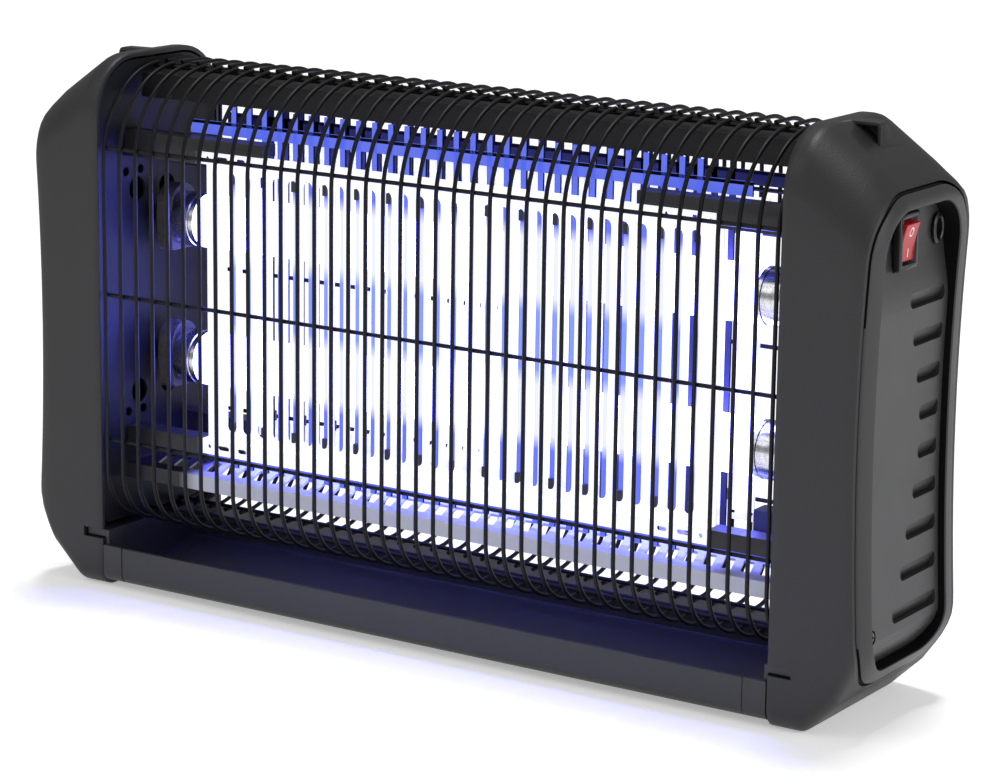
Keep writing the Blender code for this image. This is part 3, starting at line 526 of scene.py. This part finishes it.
def end_shell(side, word):
    name = f"{word}_end_shell"
    reaches = [SHELL_INNER, 184.0]
    for bend in (TOP_FLAT_END, FOOT_END):
        reaches += [bend + step for step in (-2, -1, 0, 1, 2)]
    reaches += [205, SHOULDER]
    outer = [shell_section(reach, 0.0) for reach in reaches]
    outer += shoulder_sections(0.0, 8)
    inner = [shell_section(reach, WALL) for reach in reaches] + shoulder_sections(WALL, 4)
    # The rim of the shell's open side is eased over
    outer.insert(0, [(x, y, z) for x, y, z in shell_section(SHELL_INNER, 0.5)])
    outer[1] = [(SHELL_INNER + 0.5, y, z) for _, y, z in outer[1]]
    made = loft(name + "_detail", sided(outer + inner[::-1], side), "shell", closed=True)
    ear = prism(name + "_ear", [(side * x, z) for x, z in EAR_OUTLINE], 1, EAR_FRONT, EAR_REAR)
    add_bevel(ear, EAR_BEVEL)
    eye = prism(name + "_eye", [(side * x, z) for x, z in EYE_OUTLINE], 1, EYE_FRONT, EYE_REAR)
    notch = box(
        name + "_notch",
        (side * (SHELL_INNER - 1), -HALF_DEPTH - 1, NOTCH_LOW),
        (side * NOTCH_OUTER, -HALF_DEPTH + WALL + 1, NOTCH_HIGH),
    )
    combine(made, [ear], "UNION")
    combine(made, [eye, notch])
    finish_piece(made, "housing", [name], sharp=40)


def cover_section(inset, reach_of):
    outline = rounded_outline(
        RIM_HALF_DEPTH - inset, RIM_LOW + inset, RIM_HIGH - inset, RIM_RADIUS - inset, RIM_RADIUS - inset
    )
    return [(reach_of(share, z), y, z) for y, z, share in outline]


def ease(share):
    share = min(max(share, 0.0), 1.0)
    return share * share * (3 - 2 * share)


def panel_reach(z):
    """The panel follows the waist, and is deeper at its top and bottom."""
    drop = PANEL_TOP_DROP * ease((z - PANEL_TOP_Z) / PANEL_TOP_RUN)
    drop += PANEL_LOW_DROP * ease((PANEL_LOW_Z - z) / PANEL_LOW_RUN)
    return side_reach(z) - PANEL_RECESS - drop


def cover_rim(side, word):
    sections = [
        cover_section(0.0, lambda share, z: COVER_BACK),
        cover_section(0.0, lambda share, z: rim_edge(share, z) - 1.2),
        cover_section(0.35, lambda share, z: rim_edge(share, z) - 0.35),
        cover_section(1.2, lambda share, z: rim_edge(share, z) + 0.3 * abs(share)),
        cover_section(3.0, lambda share, z: side_reach(z) - 0.5 * rim_fall(share)),
        cover_section(RIM_WIDTH - 1.5, lambda share, z: side_reach(z) - 0.12 * rim_fall(share)),
        cover_section(RIM_WIDTH - 0.4, lambda share, z: side_reach(z) - 0.1),
        cover_section(RIM_WIDTH, lambda share, z: side_reach(z) - 0.7),
        cover_section(RIM_WIDTH + 1.0, lambda share, z: panel_reach(z) - 1.0),
        cover_section(RIM_WIDTH + 1.0, lambda share, z: COVER_BACK + 4),
        cover_section(2.4, lambda share, z: COVER_BACK + 3),
        cover_section(2.4, lambda share, z: COVER_BACK),
    ]
    made = loft(f"{word}_side_cover_detail", sided(sections, side), "cover", closed=True)
    return made


def shade_recess(made):
    """Paints shade on the wall round the recessed panel, with the painted-shade look."""
    made.data.materials.append(LOOKS["painted_shade"])
    corner = RIM_RADIUS - RIM_WIDTH
    middle = (RIM_LOW + RIM_HIGH) / 2
    half_height = (RIM_HIGH - RIM_LOW) / 2
    for face in made.data.polygons:
        x, y, z = (abs(value) / MM for value in face.center)
        past_y = max(y - (RIM_HALF_DEPTH - RIM_RADIUS), 0)
        past_z = max(abs(z - middle) - (half_height - RIM_RADIUS), 0)
        on_wall = math.hypot(past_y, past_z) > corner - 1.7
        if on_wall and abs(face.normal.x) < 0.5 and panel_reach(z) - 0.5 < x < side_reach(z) - 0.3:
            face.material_index = len(made.data.materials) - 1


def cover_panel(side):
    inset = RIM_WIDTH - 1.0
    half, low, high, steps = RIM_HALF_DEPTH - inset, RIM_LOW + inset, RIM_HIGH - inset, 40
    heights = [lerp(low, high, i / steps) for i in range(steps + 1)]
    face = [(side * panel_reach(z), z) for z in heights]
    back = [(side * (panel_reach(z) - PANEL_THICK), z) for z in reversed(heights)]
    strip = prism("panel", face + back, 1, -half, half)
    outline = rounded_outline(half, low, high, RIM_RADIUS - inset, RIM_RADIUS - inset)
    trim = prism("trim", [(y, z) for y, z, _ in outline], 0, *span(side, 200, 230))
    return combine(strip, [trim], "INTERSECT")


def louvre(side, number, length):
    """Cutter for one finger slot: a scoop that deepens downwards and to the rear."""
    middle = LOUVRE_TOP_Z - LOUVRE_PITCH * number
    outline = rounded_outline(
        length / 2, middle - LOUVRE_HEIGHT / 2, middle + LOUVRE_HEIGHT / 2, LOUVRE_RADIUS, LOUVRE_RADIUS, 4
    )
    centre = LOUVRE_REAR_Y - length / 2
    rings = [[], []]
    for y, z, _ in outline:
        fall = (middle + LOUVRE_HEIGHT / 2 - z) / LOUVRE_HEIGHT
        rings[0].append((side * (panel_reach(z) + 3), centre + y, z))
        rings[1].append((side * (panel_reach(z) - 0.15 - LOUVRE_DEPTH * fall), centre + y, z))
    return loft(f"louvre_{number}", rings)


def side_cover(side, word):
    made = cover_rim(side, word)
    combine(made, [cover_panel(side)], "UNION")
    holes = [louvre(side, i, length) for i, length in enumerate(LOUVRE_LENGTHS)]
    holes.append(lathe("screw_well", [(200, 3.3), (230, 3.3)], (SCREW_Y, SCREW_Z), side, steps=24))
    if side > 0:
        for near, inset in ((SWITCH_SEAT - 0.3, -0.3), (200.0, BEZEL - 0.3)):
            low = (near, SWITCH_Y - SWITCH_HALF_Y + inset, SWITCH_Z - SWITCH_HALF_Z + inset)
            high = (230.0, SWITCH_Y + SWITCH_HALF_Y - inset, SWITCH_Z + SWITCH_HALF_Z - inset)
            holes.append(box("switch_hole", low, high))
        holes.append(inlet_loft("inlet_hole", [(200, 3.9), (230, 3.9)], None))
    combine(made, holes)
    shade_recess(made)
    finish_piece(made, "housing", [f"{word}_side_cover"], sharp=40)


def cover_screw(side, word):
    face = panel_reach(SCREW_Z) - 1.6
    profile = [(face - 6, 1.5), (face, 1.5), (face, 2.9)]
    profile += [(face + 0.9, 2.9), (face + 1.5, 2.2), (face + 1.7, 0.3)]
    head = lathe(f"{word}_cover_screw_detail", profile, (SCREW_Y, SCREW_Z), side, "screw", 24)
    blades = []
    for long_y, long_z in ((1.9, 0.35), (0.35, 1.9)):
        low = (side * (face + 0.8), SCREW_Y - long_y, SCREW_Z - long_z)
        high = (side * (face + 3), SCREW_Y + long_y, SCREW_Z + long_z)
        blades.append(box("blade", low, high))
    combine(head, blades)
    finish_piece(head, "housing", [f"{word}_cover_screw"])


# ---------------------------------------------------------------- guards


def arc(centre, radius, first, last, steps):
    points = []
    for step in range(steps + 1):
        angle = math.radians(lerp(first, last, step / steps))
        points.append((centre[0] + radius * math.cos(angle), centre[1] + radius * math.sin(angle)))
    return points


def guard(sign, word):
    """Round wires from under the base up, over the top and on to the middle, with rails behind them."""
    low_y = GUARD_DEPTH - LOW_BEND_RADIUS
    bend_z, radius = TOP_BENDS[sign]
    bend_y = GUARD_DEPTH - radius
    path = [(low_y - WIRE_RUN_IN, LOW_BEND_Z - LOW_BEND_RADIUS)]
    path += arc((low_y, LOW_BEND_Z), LOW_BEND_RADIUS, -90, 0, 12)
    path += arc((bend_y, bend_z), radius, 0, 88, 18)
    if sign > 0:
        path.append((REAR_RUN_END, path[-1][1]))
    curve = bpy.data.curves.new(f"{word}_guard_wires", "CURVE")
    curve.dimensions = "3D"
    curve.bevel_depth = WIRE_RADIUS * MM
    curve.bevel_resolution = 2
    curve.use_fill_caps = True
    rails = [(GUARD_DEPTH - RAIL_INSET, z) for z in RAIL_HEIGHTS]
    rails.append((path[0][0] + END_RAIL_INSET, path[0][1] + RAIL_INSET))
    rails.append((path[-1][0] + END_RAIL_INSET, path[-1][1] - RAIL_INSET))
    runs = []
    for i in range(WIRES):
        x = (i - (WIRES - 1) / 2) * WIRE_PITCH
        runs.append([(x, sign * y, z) for y, z in path])
    for y, z in rails:
        runs.append([(-GUARD_HALF_LENGTH, sign * y, z), (GUARD_HALF_LENGTH, sign * y, z)])
    for run in runs:
        spline = curve.splines.new("POLY")
        spline.points.add(len(run) - 1)
        for point, place in zip(spline.points, run):
            point.co = (*[value * MM for value in place], 1.0)
        spline.use_smooth = True
    made = bpy.data.objects.new(f"{word}_guard_wires", curve)
    bpy.context.scene.collection.objects.link(made)
    curve.materials.append(LOOKS["wire"])
    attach(made, "housing")
    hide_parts(f"{word}_guard")


def rear_top_rail():
    """The rail inside the rear guard's upper bend, with a look that glows faintly: painted blue light from
    the lamps.
    """
    bend_z, radius = TOP_BENDS[1]
    angle = math.radians(REAR_TOP_RAIL_ANGLE)
    reach = radius - RAIL_INSET - TOP_RAIL_GAP
    centre = (GUARD_DEPTH - radius + reach * math.cos(angle), bend_z + reach * math.sin(angle))
    profile = [(-GUARD_HALF_LENGTH, TOP_RAIL_RADIUS), (GUARD_HALF_LENGTH, TOP_RAIL_RADIUS)]
    made = lathe("rear_top_rail", profile, centre, 1, "lit", 16)
    finish_piece(made, "housing")


# ---------------------------------------------------------------- grids


def electrode_plate(sign, word):
    face, plate = GRID_FACE_Y, GRID_PLATE_Y
    ledge_low, ledge_high = GRID_LOW + RAIL_FACE, GRID_HIGH - RAIL_FACE + 1.0
    profile = [
        (face, GRID_LOW),
        (face, ledge_low),
        (plate, ledge_low),
        (plate, ledge_high),
        (face, ledge_high),
        (face, GRID_HIGH),
        (face - SHEET, GRID_HIGH),
        (face - SHEET, ledge_high + SHEET),
        (plate - SHEET, ledge_high + SHEET),
        (plate - SHEET, ledge_low - SHEET),
        (face - SHEET, ledge_low - SHEET),
        (face - SHEET, GRID_LOW),
    ]
    points = [(sign * y, z) for y, z in profile]
    made = prism(f"{word}_electrode_plate_detail", points, 0, -GRID_HALF_LENGTH, GRID_HALF_LENGTH, "zinc")
    cutters = []
    middle = (SLOT_LOW + SLOT_HIGH) / 2
    for i in range(SLOTS):
        x = (i - (SLOTS - 1) / 2) * SLOT_PITCH
        outline = round_slot((x, middle), SLOT_HALF_WIDTH, (SLOT_HIGH - SLOT_LOW) / 2)
        cutters.append(prism("slot", outline, 1, *span(sign, plate - 3, plate + 1.5)))
    for side in (-1, 1):
        for z in (71.8, 209.8):
            for near, far in ((132.8, 135.2), (121.9, 129.1), (111.8, 117.4)):
                reach = (near + far) / 2
                outline = round_slot((side * reach, z), 1.2, max((far - near) / 2, 1.25), turn=90)
                cutters.append(prism("hole", outline, 1, *span(sign, face - 3, face + 1.5)))
    combine(made, cutters)
    finish_piece(made, "housing", [f"{word}_electrode_plate"])


def shade_dark_sides(made):
    """Paints shade on the bars' right sides and the upper rail's top edge, with the painted-shade look."""
    made.data.materials.append(LOOKS["painted_shade"])
    edge_z = COMB_RAILS[1][1] - COMB_TOP_EDGE / 2
    for face in made.data.polygons:
        if face.normal.x > 0.9 or abs(face.center.z / MM - edge_z) < COMB_TOP_EDGE / 4:
            face.material_index = 1


def live_comb(sign, word):
    """Live bars behind the slots on two thin rails, with a black tab at the ends of every other bar."""
    low_y, high_y = span(sign, COMB_Y - SHEET, COMB_Y)
    shape = bmesh.new()
    pieces = []
    for i in range(SLOTS):
        pieces.append((((i - (SLOTS - 1) / 2) * SLOT_PITCH), COMB_HALF_WIDTH, COMB_LOW, COMB_HIGH))
    for low, high in COMB_RAILS:
        pieces.append((0.0, COMB_RAIL_HALF_LENGTH, low, high - COMB_TOP_EDGE))
        pieces.append((0.0, COMB_RAIL_HALF_LENGTH, high - COMB_TOP_EDGE, high))
    for x, half, low, high in pieces:
        add_block(shape, (x, (low_y + high_y) / 2, (low + high) / 2), (2 * half, SHEET, high - low))
    made = to_object(f"{word}_live_comb_detail", shape, "live" if sign < 0 else "rear_live")
    shade_dark_sides(made)
    finish_piece(made, "housing", [f"{word}_live_comb"])
    tabs = bmesh.new()
    for i in range(0, SLOTS, 2):
        x = (i - (SLOTS - 1) / 2) * SLOT_PITCH
        for z in TAB_HEIGHTS:
            add_block(tabs, (x, sign * (COMB_Y + TAB_STAND), z), TAB_SIZE)
    finish_piece(to_object(f"{word}_comb_tabs", tabs, "insulator"), "housing", bevel=0.3)


def inner_panel(side, word):
    outline = rounded_outline(*INNER_PANEL_OUTLINE)
    points = [(y, z) for y, z, _ in outline]
    made = prism(f"{word}_inner_panel_detail", points, 0, *span(side, PANEL_FACE, PANEL_BACK), "steel_dark")
    holes = []
    for middle, turn in HOLE_ROWS:
        for y, z, radius in HOLES:
            profile = [(PANEL_FACE - 3, radius), (PANEL_BACK + 3, radius)]
            holes.append(lathe("hole", profile, (y, middle + turn * z), side, steps=24))
    combine(made, holes)
    finish_piece(made, "housing", [f"{word}_inner_panel"])


def insulators(end):
    for _, word in FACES:
        for level in ("upper", "lower"):
            add_bevel(frame["nodes"][f"{word}_{end}_{level}_insulator"], INSULATOR_BEVEL)


# ---------------------------------------------------------------- tubes


def tube(level):
    z = TUBE_HEIGHTS[level]
    body = f"{level}_tube"
    glass_profile = [(-GLASS_END, 11.5), (-GLASS_END, 12.6), (-GLASS_END + 2, 12.8)]
    glass_profile += [(-reach, radius) for reach, radius in reversed(glass_profile)]
    glass = lathe(f"{level}_tube_glass_detail", glass_profile, (0, z), 1, "glass", 64)
    finish_piece(glass, body, [f"{level}_tube_glass"])
    for side, word in SIDES:
        profile = [
            (GLASS_END + 0.3, 11.9),
            (GLASS_END + 0.3, 12.9),
            (GLASS_END + 2.6, TUBE_RADIUS),
            (GLASS_END + 3.0, 12.6),
            (GLASS_END + 3.6, 12.6),
            (GLASS_END + 4.0, TUBE_RADIUS),
            (CAP_END - 1.6, TUBE_RADIUS),
            (CAP_END - 0.5, 12.5),
            (CAP_END, 11.4),
            (CAP_END, 0.5),
        ]
        cap = lathe(f"{level}_tube_{word}_cap_detail", profile, (0, z), side, "aluminium", 64)
        pins = []
        for turn in (-1, 1):
            pin = [(CAP_END - 1, PIN_RADIUS), (PIN_END - 0.5, PIN_RADIUS), (PIN_END, 0.7)]
            pins.append(lathe("pin", pin, (0, z + turn * PIN_OFF_AXIS), side, steps=16))
        combine(cap, pins, "UNION")
        finish_piece(cap, body, [f"{level}_tube_{word}_cap"])
        holder(side, word, level, z)
        rotor = lathe(
            f"{level}_{word}_rotor_detail",
            [(ROTOR_FACE, ROTOR_RADIUS - 0.6), (ROTOR_FACE + 0.6, ROTOR_RADIUS), (ROTOR_END, ROTOR_RADIUS)],
            (0, z),
            side,
            "rotor",
        )
        slot = box("slot", (side * (ROTOR_FACE - 1), -1.6, z - 10), (side * (ROTOR_END - 1.2), 1.6, z + 10))
        combine(rotor, [slot])
        finish_piece(rotor, body, [f"{level}_{word}_tube_rotor"])


def holder(side, word, level, z):
    """Upright block with a round top and a recess for the rotor, on a stub from the inner panel."""
    foot = z - HOLDER_DROP
    points = [(-HOLDER_RADIUS, foot + 1.5), (-HOLDER_RADIUS + 1.5, foot)]
    points += [(HOLDER_RADIUS - 1.5, foot), (HOLDER_RADIUS, foot + 1.5)]
    points += arc((0, z + HOLDER_RISE), HOLDER_RADIUS, 0, 180, 24)
    made = prism(f"{level}_{word}_holder_detail", points, 0, *span(side, HOLDER_FACE, HOLDER_BACK), "holder")
    near, far = span(side, HOLDER_BACK - 1, STUB_END)
    stub = box("stub", (near, -3.0, z - 4.0), (far, 3.0, z + 4.0))
    ring = ROTOR_RADIUS + 0.5
    recess = lathe("recess", [(HOLDER_FACE - 1, ring), (ROTOR_END + 0.3, ring)], (0, z), side)
    combine(made, [stub], "UNION")
    combine(made, [recess])
    finish_piece(made, "housing", [f"{level}_{word}_tube_holder"], bevel=0.6, segments=3)


# ---------------------------------------------------------------- tray


def tray_section():
    """(y, z) section of the pan, a bent sheet: round lower front edge, rising floor, raised rear shelf."""
    corner = (TRAY_FRONT + TRAY_CORNER, TRAY_LOW + TRAY_CORNER)
    wall = TRAY_WALL
    outer = [(TRAY_FRONT, TRAY_HIGH)] + arc(corner, TRAY_CORNER, 180, 270, 6)
    outer += [(y, z - wall) for y, z in TRAY_FLOOR]
    outer += [(SHELF_FRONT + wall, SHELF_Z - wall), (TRAY_REAR - wall, SHELF_Z - wall)]
    outer += [(TRAY_REAR - wall, SHELF_FOOT), (TRAY_REAR, SHELF_FOOT), (TRAY_REAR, SHELF_Z)]
    inner = [(SHELF_FRONT, SHELF_Z), (SHELF_FRONT - 1.0, TRAY_FLOOR[2][1]), TRAY_FLOOR[1], TRAY_FLOOR[0]]
    inner += reversed(arc(corner, TRAY_CORNER - wall, 180, 270, 6))
    inner += [(TRAY_FRONT + wall, TRAY_HIGH)]
    return outer + inner


def tray():
    half = TRAY_HALF_LENGTH
    pan = prism("tray_pan_detail", tray_section(), 0, -half, half, "tray")
    finish_piece(pan, "tray", ["tray_pan"], bevel=0.5)
    for side, word in SIDES:
        made = prism(
            f"{word}_tray_runner_detail",
            tray_section(),
            0,
            *span(side, half + 0.3, RUNNER_OUTER - 1),
            "tray",
        )
        corner = (TRAY_FRONT + TRAY_CORNER, TRAY_LOW + TRAY_CORNER)
        section = [(TRAY_FRONT, TRAY_HIGH)] + arc(corner, TRAY_CORNER, 180, 270, 6)
        section += [(TRAY_REAR, TRAY_LOW), (TRAY_REAR, TRAY_SIDE_HIGH), (TRAY_FRONT + 2, TRAY_SIDE_HIGH)]
        section += [(TRAY_FRONT + 2, TRAY_HIGH)]
        wall = prism("wall", section, 0, *span(side, RUNNER_OUTER - TRAY_WALL, RUNNER_OUTER))
        flange = box(
            "flange",
            (side * (RUNNER_OUTER - 1), TRAY_FRONT + 2, FLANGE_LOW),
            (side * FLANGE_OUTER, TRAY_REAR, TRAY_SIDE_HIGH),
        )
        combine(made, [wall, flange], "UNION")
        finish_piece(made, "tray", [f"{word}_tray_runner"], bevel=0.4)


# ---------------------------------------------------------------- switch and inlet


def switch():
    low = (SWITCH_SEAT, SWITCH_Y - SWITCH_HALF_Y, SWITCH_Z - SWITCH_HALF_Z)
    high = (SWITCH_FACE, SWITCH_Y + SWITCH_HALF_Y, SWITCH_Z + SWITCH_HALF_Z)
    bezel = box("switch_frame_detail", low, high, "black")
    add_bevel(bezel, 0.9, 3)
    body = box(
        "body",
        (SWITCH_BACK, low[1] + BEZEL, low[2] + BEZEL),
        (SWITCH_FACE - 1, high[1] - BEZEL, high[2] - BEZEL),
    )
    combine(bezel, [body], "UNION")
    well = box(
        "well",
        (SWITCH_FACE - 9, SWITCH_Y - ROCKER_HALF_Y - 0.4, SWITCH_Z - ROCKER_HALF_Z - 0.5),
        (SWITCH_FACE + 5, SWITCH_Y + ROCKER_HALF_Y + 0.4, SWITCH_Z + ROCKER_HALF_Z + 0.5),
    )
    combine(bezel, [well])
    finish_piece(bezel, "housing", ["switch_frame"])
    rocker()


def tilted(out, up):
    """(x, z) of a point on the rocker, tilted as it stands when the switch is on."""
    tilt = math.radians(-ROCKER_TILT)
    x = ROCKER_PIVOT + 0.6 + out * math.cos(tilt) - up * math.sin(tilt)
    return (x, SWITCH_Z + out * math.sin(tilt) + up * math.cos(tilt))


def rocker_face(up):
    """How far the rocker's hollowed face stands out at a distance up from its middle."""
    reach = ROCKER_HALF_Z - 1.0
    return 1.7 + 0.7 * (up / reach) ** 2


def rocker():
    reach = ROCKER_HALF_Z - 1.0
    heights = [lerp(-reach, reach, i / 12) for i in range(13)]
    outline = [(-4.2, 0.0), (-3.0, -reach)] + [(rocker_face(up), up) for up in heights] + [(-3.0, reach)]
    points = [tilted(out, up) for out, up in outline]
    made = prism(
        "switch_rocker_detail", points, 1, SWITCH_Y - ROCKER_HALF_Y, SWITCH_Y + ROCKER_HALF_Y, "red"
    )
    finish_piece(made, "rocker", ["switch_rocker"], bevel=0.5, segments=3)
    # An O on the upper half and an I on the lower half, just proud of the face
    marks = bmesh.new()
    rings = [[], [], [], []]
    for i in range(24):
        angle = 2 * math.pi * i / 24
        for ring, (radius, proud) in zip(rings, ((1.25, 0.02), (1.25, 0.1), (1.75, 0.1), (1.75, 0.02))):
            up = 4.3 + radius * 1.2 * math.sin(angle)
            x, z = tilted(rocker_face(up) + proud, up)
            ring.append(marks.verts.new((x, SWITCH_Y + radius * math.cos(angle), z)))
    join_rings(marks, rings, closed=True)
    bar = []
    for proud in (0.02, 0.1):
        ring = []
        for y, up in ((-0.3, -6.4), (0.3, -6.4), (0.3, -2.8), (-0.3, -2.8)):
            x, z = tilted(rocker_face(up) + proud, up)
            ring.append(marks.verts.new((x, SWITCH_Y + y, z)))
        bar.append(ring)
    join_rings(marks, bar)
    marks.faces.new(bar[0])
    marks.faces.new(bar[1])
    finish_piece(to_object("rocker_marks", marks, "mark"), "rocker")


def inlet_loft(name, profile, material, closed=False):
    """Oval version of a lathe round the cord inlet's axis."""
    rings = []
    for reach, radius in profile:
        ring = []
        for i in range(40):
            angle = 2 * math.pi * i / 40
            z = INLET_Z + radius * INLET_TALL * math.sin(angle)
            ring.append((reach, INLET_Y + radius * math.cos(angle), z))
        rings.append(ring)
    return loft(name, rings, material, closed)


def cord_inlet():
    half_height = INLET_RADIUS * INLET_TALL
    seat = panel_reach(INLET_Z + half_height) - 5
    face = panel_reach(INLET_Z - half_height) + 0.4
    profile = [
        (seat, INLET_HOLE),
        (seat, 3.2),
        (face - 0.2, 3.2),
        (face, INLET_RADIUS - 0.2),
        (face + 0.7, INLET_RADIUS),
        (face + 1.3, INLET_RADIUS - 0.7),
        (face + 1.4, INLET_HOLE + 0.5),
        (face + 0.9, INLET_HOLE),
    ]
    made = inlet_loft("cord_inlet_detail", profile, "black", closed=True)
    finish_piece(made, "housing", ["cord_inlet"])


# ---------------------------------------------------------------- build


for side, word in SIDES:
    end_shell(side, word)
    side_cover(side, word)
    cover_screw(side, word)
    inner_panel(side, word)
    insulators(word)
for sign, word in FACES:
    guard(sign, word)
    electrode_plate(sign, word)
    live_comb(sign, word)
for level in TUBE_HEIGHTS:
    tube(level)
rear_top_rail()
tray()
switch()
cord_inlet()
for name in (
    "top_channel",
    "base_plate",
    "left_tray_rail",
    "right_tray_rail",
    "tube_ballast",
    "high_voltage_board",
    "high_voltage_transformer",
    "storage_capacitor",
):
    add_bevel(frame["nodes"][name], 0.3)


# ---------------------------------------------------------------- studio


def studio():
    half = FLOOR_HALF
    mesh = bpy.data.meshes.new("floor")
    corners = [(-half, -half, 0), (half, -half, 0), (half, half, 0), (-half, half, 0)]
    mesh.from_pydata(corners, [], [(0, 1, 2, 3)])
    floor = bpy.data.objects.new("floor", mesh)
    bpy.context.scene.collection.objects.link(floor)
    mesh.materials.append(surface("floor", (0.92, 0.92, 0.92), 0.7, vary=0.01, wide=3.0, glow=FLOOR_GLOW))
    world = bpy.data.worlds.new("studio")
    world.use_nodes = True
    world.node_tree.nodes["Background"].inputs["Color"].default_value = (1.0, 1.0, 1.0, 1.0)
    world.node_tree.nodes["Background"].inputs["Strength"].default_value = WORLD_STRENGTH
    bpy.context.scene.world = world
    sun = bpy.data.lights.new("sun", "SUN")
    sun.energy = SUN_STRENGTH
    sun.angle = math.radians(SUN_ANGLE)
    lamp = bpy.data.objects.new("sun", sun)
    lamp.rotation_euler = (-Vector(SUN_PLACE)).to_track_quat("-Z", "Y").to_euler()
    bpy.context.scene.collection.objects.link(lamp)
    for name, place, size, energy in AREA_LIGHTS:
        light = bpy.data.lights.new(name, "AREA")
        light.energy = energy
        light.size = size
        lamp = bpy.data.objects.new(name, light)
        lamp.location = place
        aim = Vector(LIGHT_AIM) - Vector(place)
        lamp.rotation_euler = aim.to_track_quat("-Z", "Y").to_euler()
        bpy.context.scene.collection.objects.link(lamp)
    bpy.context.scene.view_settings.view_transform = "Standard"


def camera():
    data = bpy.data.cameras.new("camera")
    data.lens = CAMERA_LENS
    data.sensor_width = 36.0
    data.clip_end = 50.0
    made = bpy.data.objects.new("camera", data)
    bpy.context.scene.collection.objects.link(made)
    azimuth, elevation, roll = (math.radians(v) for v in (CAMERA_AZIMUTH, CAMERA_ELEVATION, CAMERA_ROLL))
    level = math.cos(elevation)
    back = Vector((math.sin(azimuth) * level, -math.cos(azimuth) * level, math.sin(elevation)))
    right = Vector((math.cos(azimuth), math.sin(azimuth), 0))
    up = back.cross(right)
    turned_right = math.cos(roll) * right + math.sin(roll) * up
    turned_up = math.cos(roll) * up - math.sin(roll) * right
    turn = Matrix((turned_right, turned_up, back)).transposed()
    made.matrix_world = Matrix.Translation(CAMERA_PLACE) @ turn.to_4x4()
    bpy.context.scene.camera = made


studio()
camera()
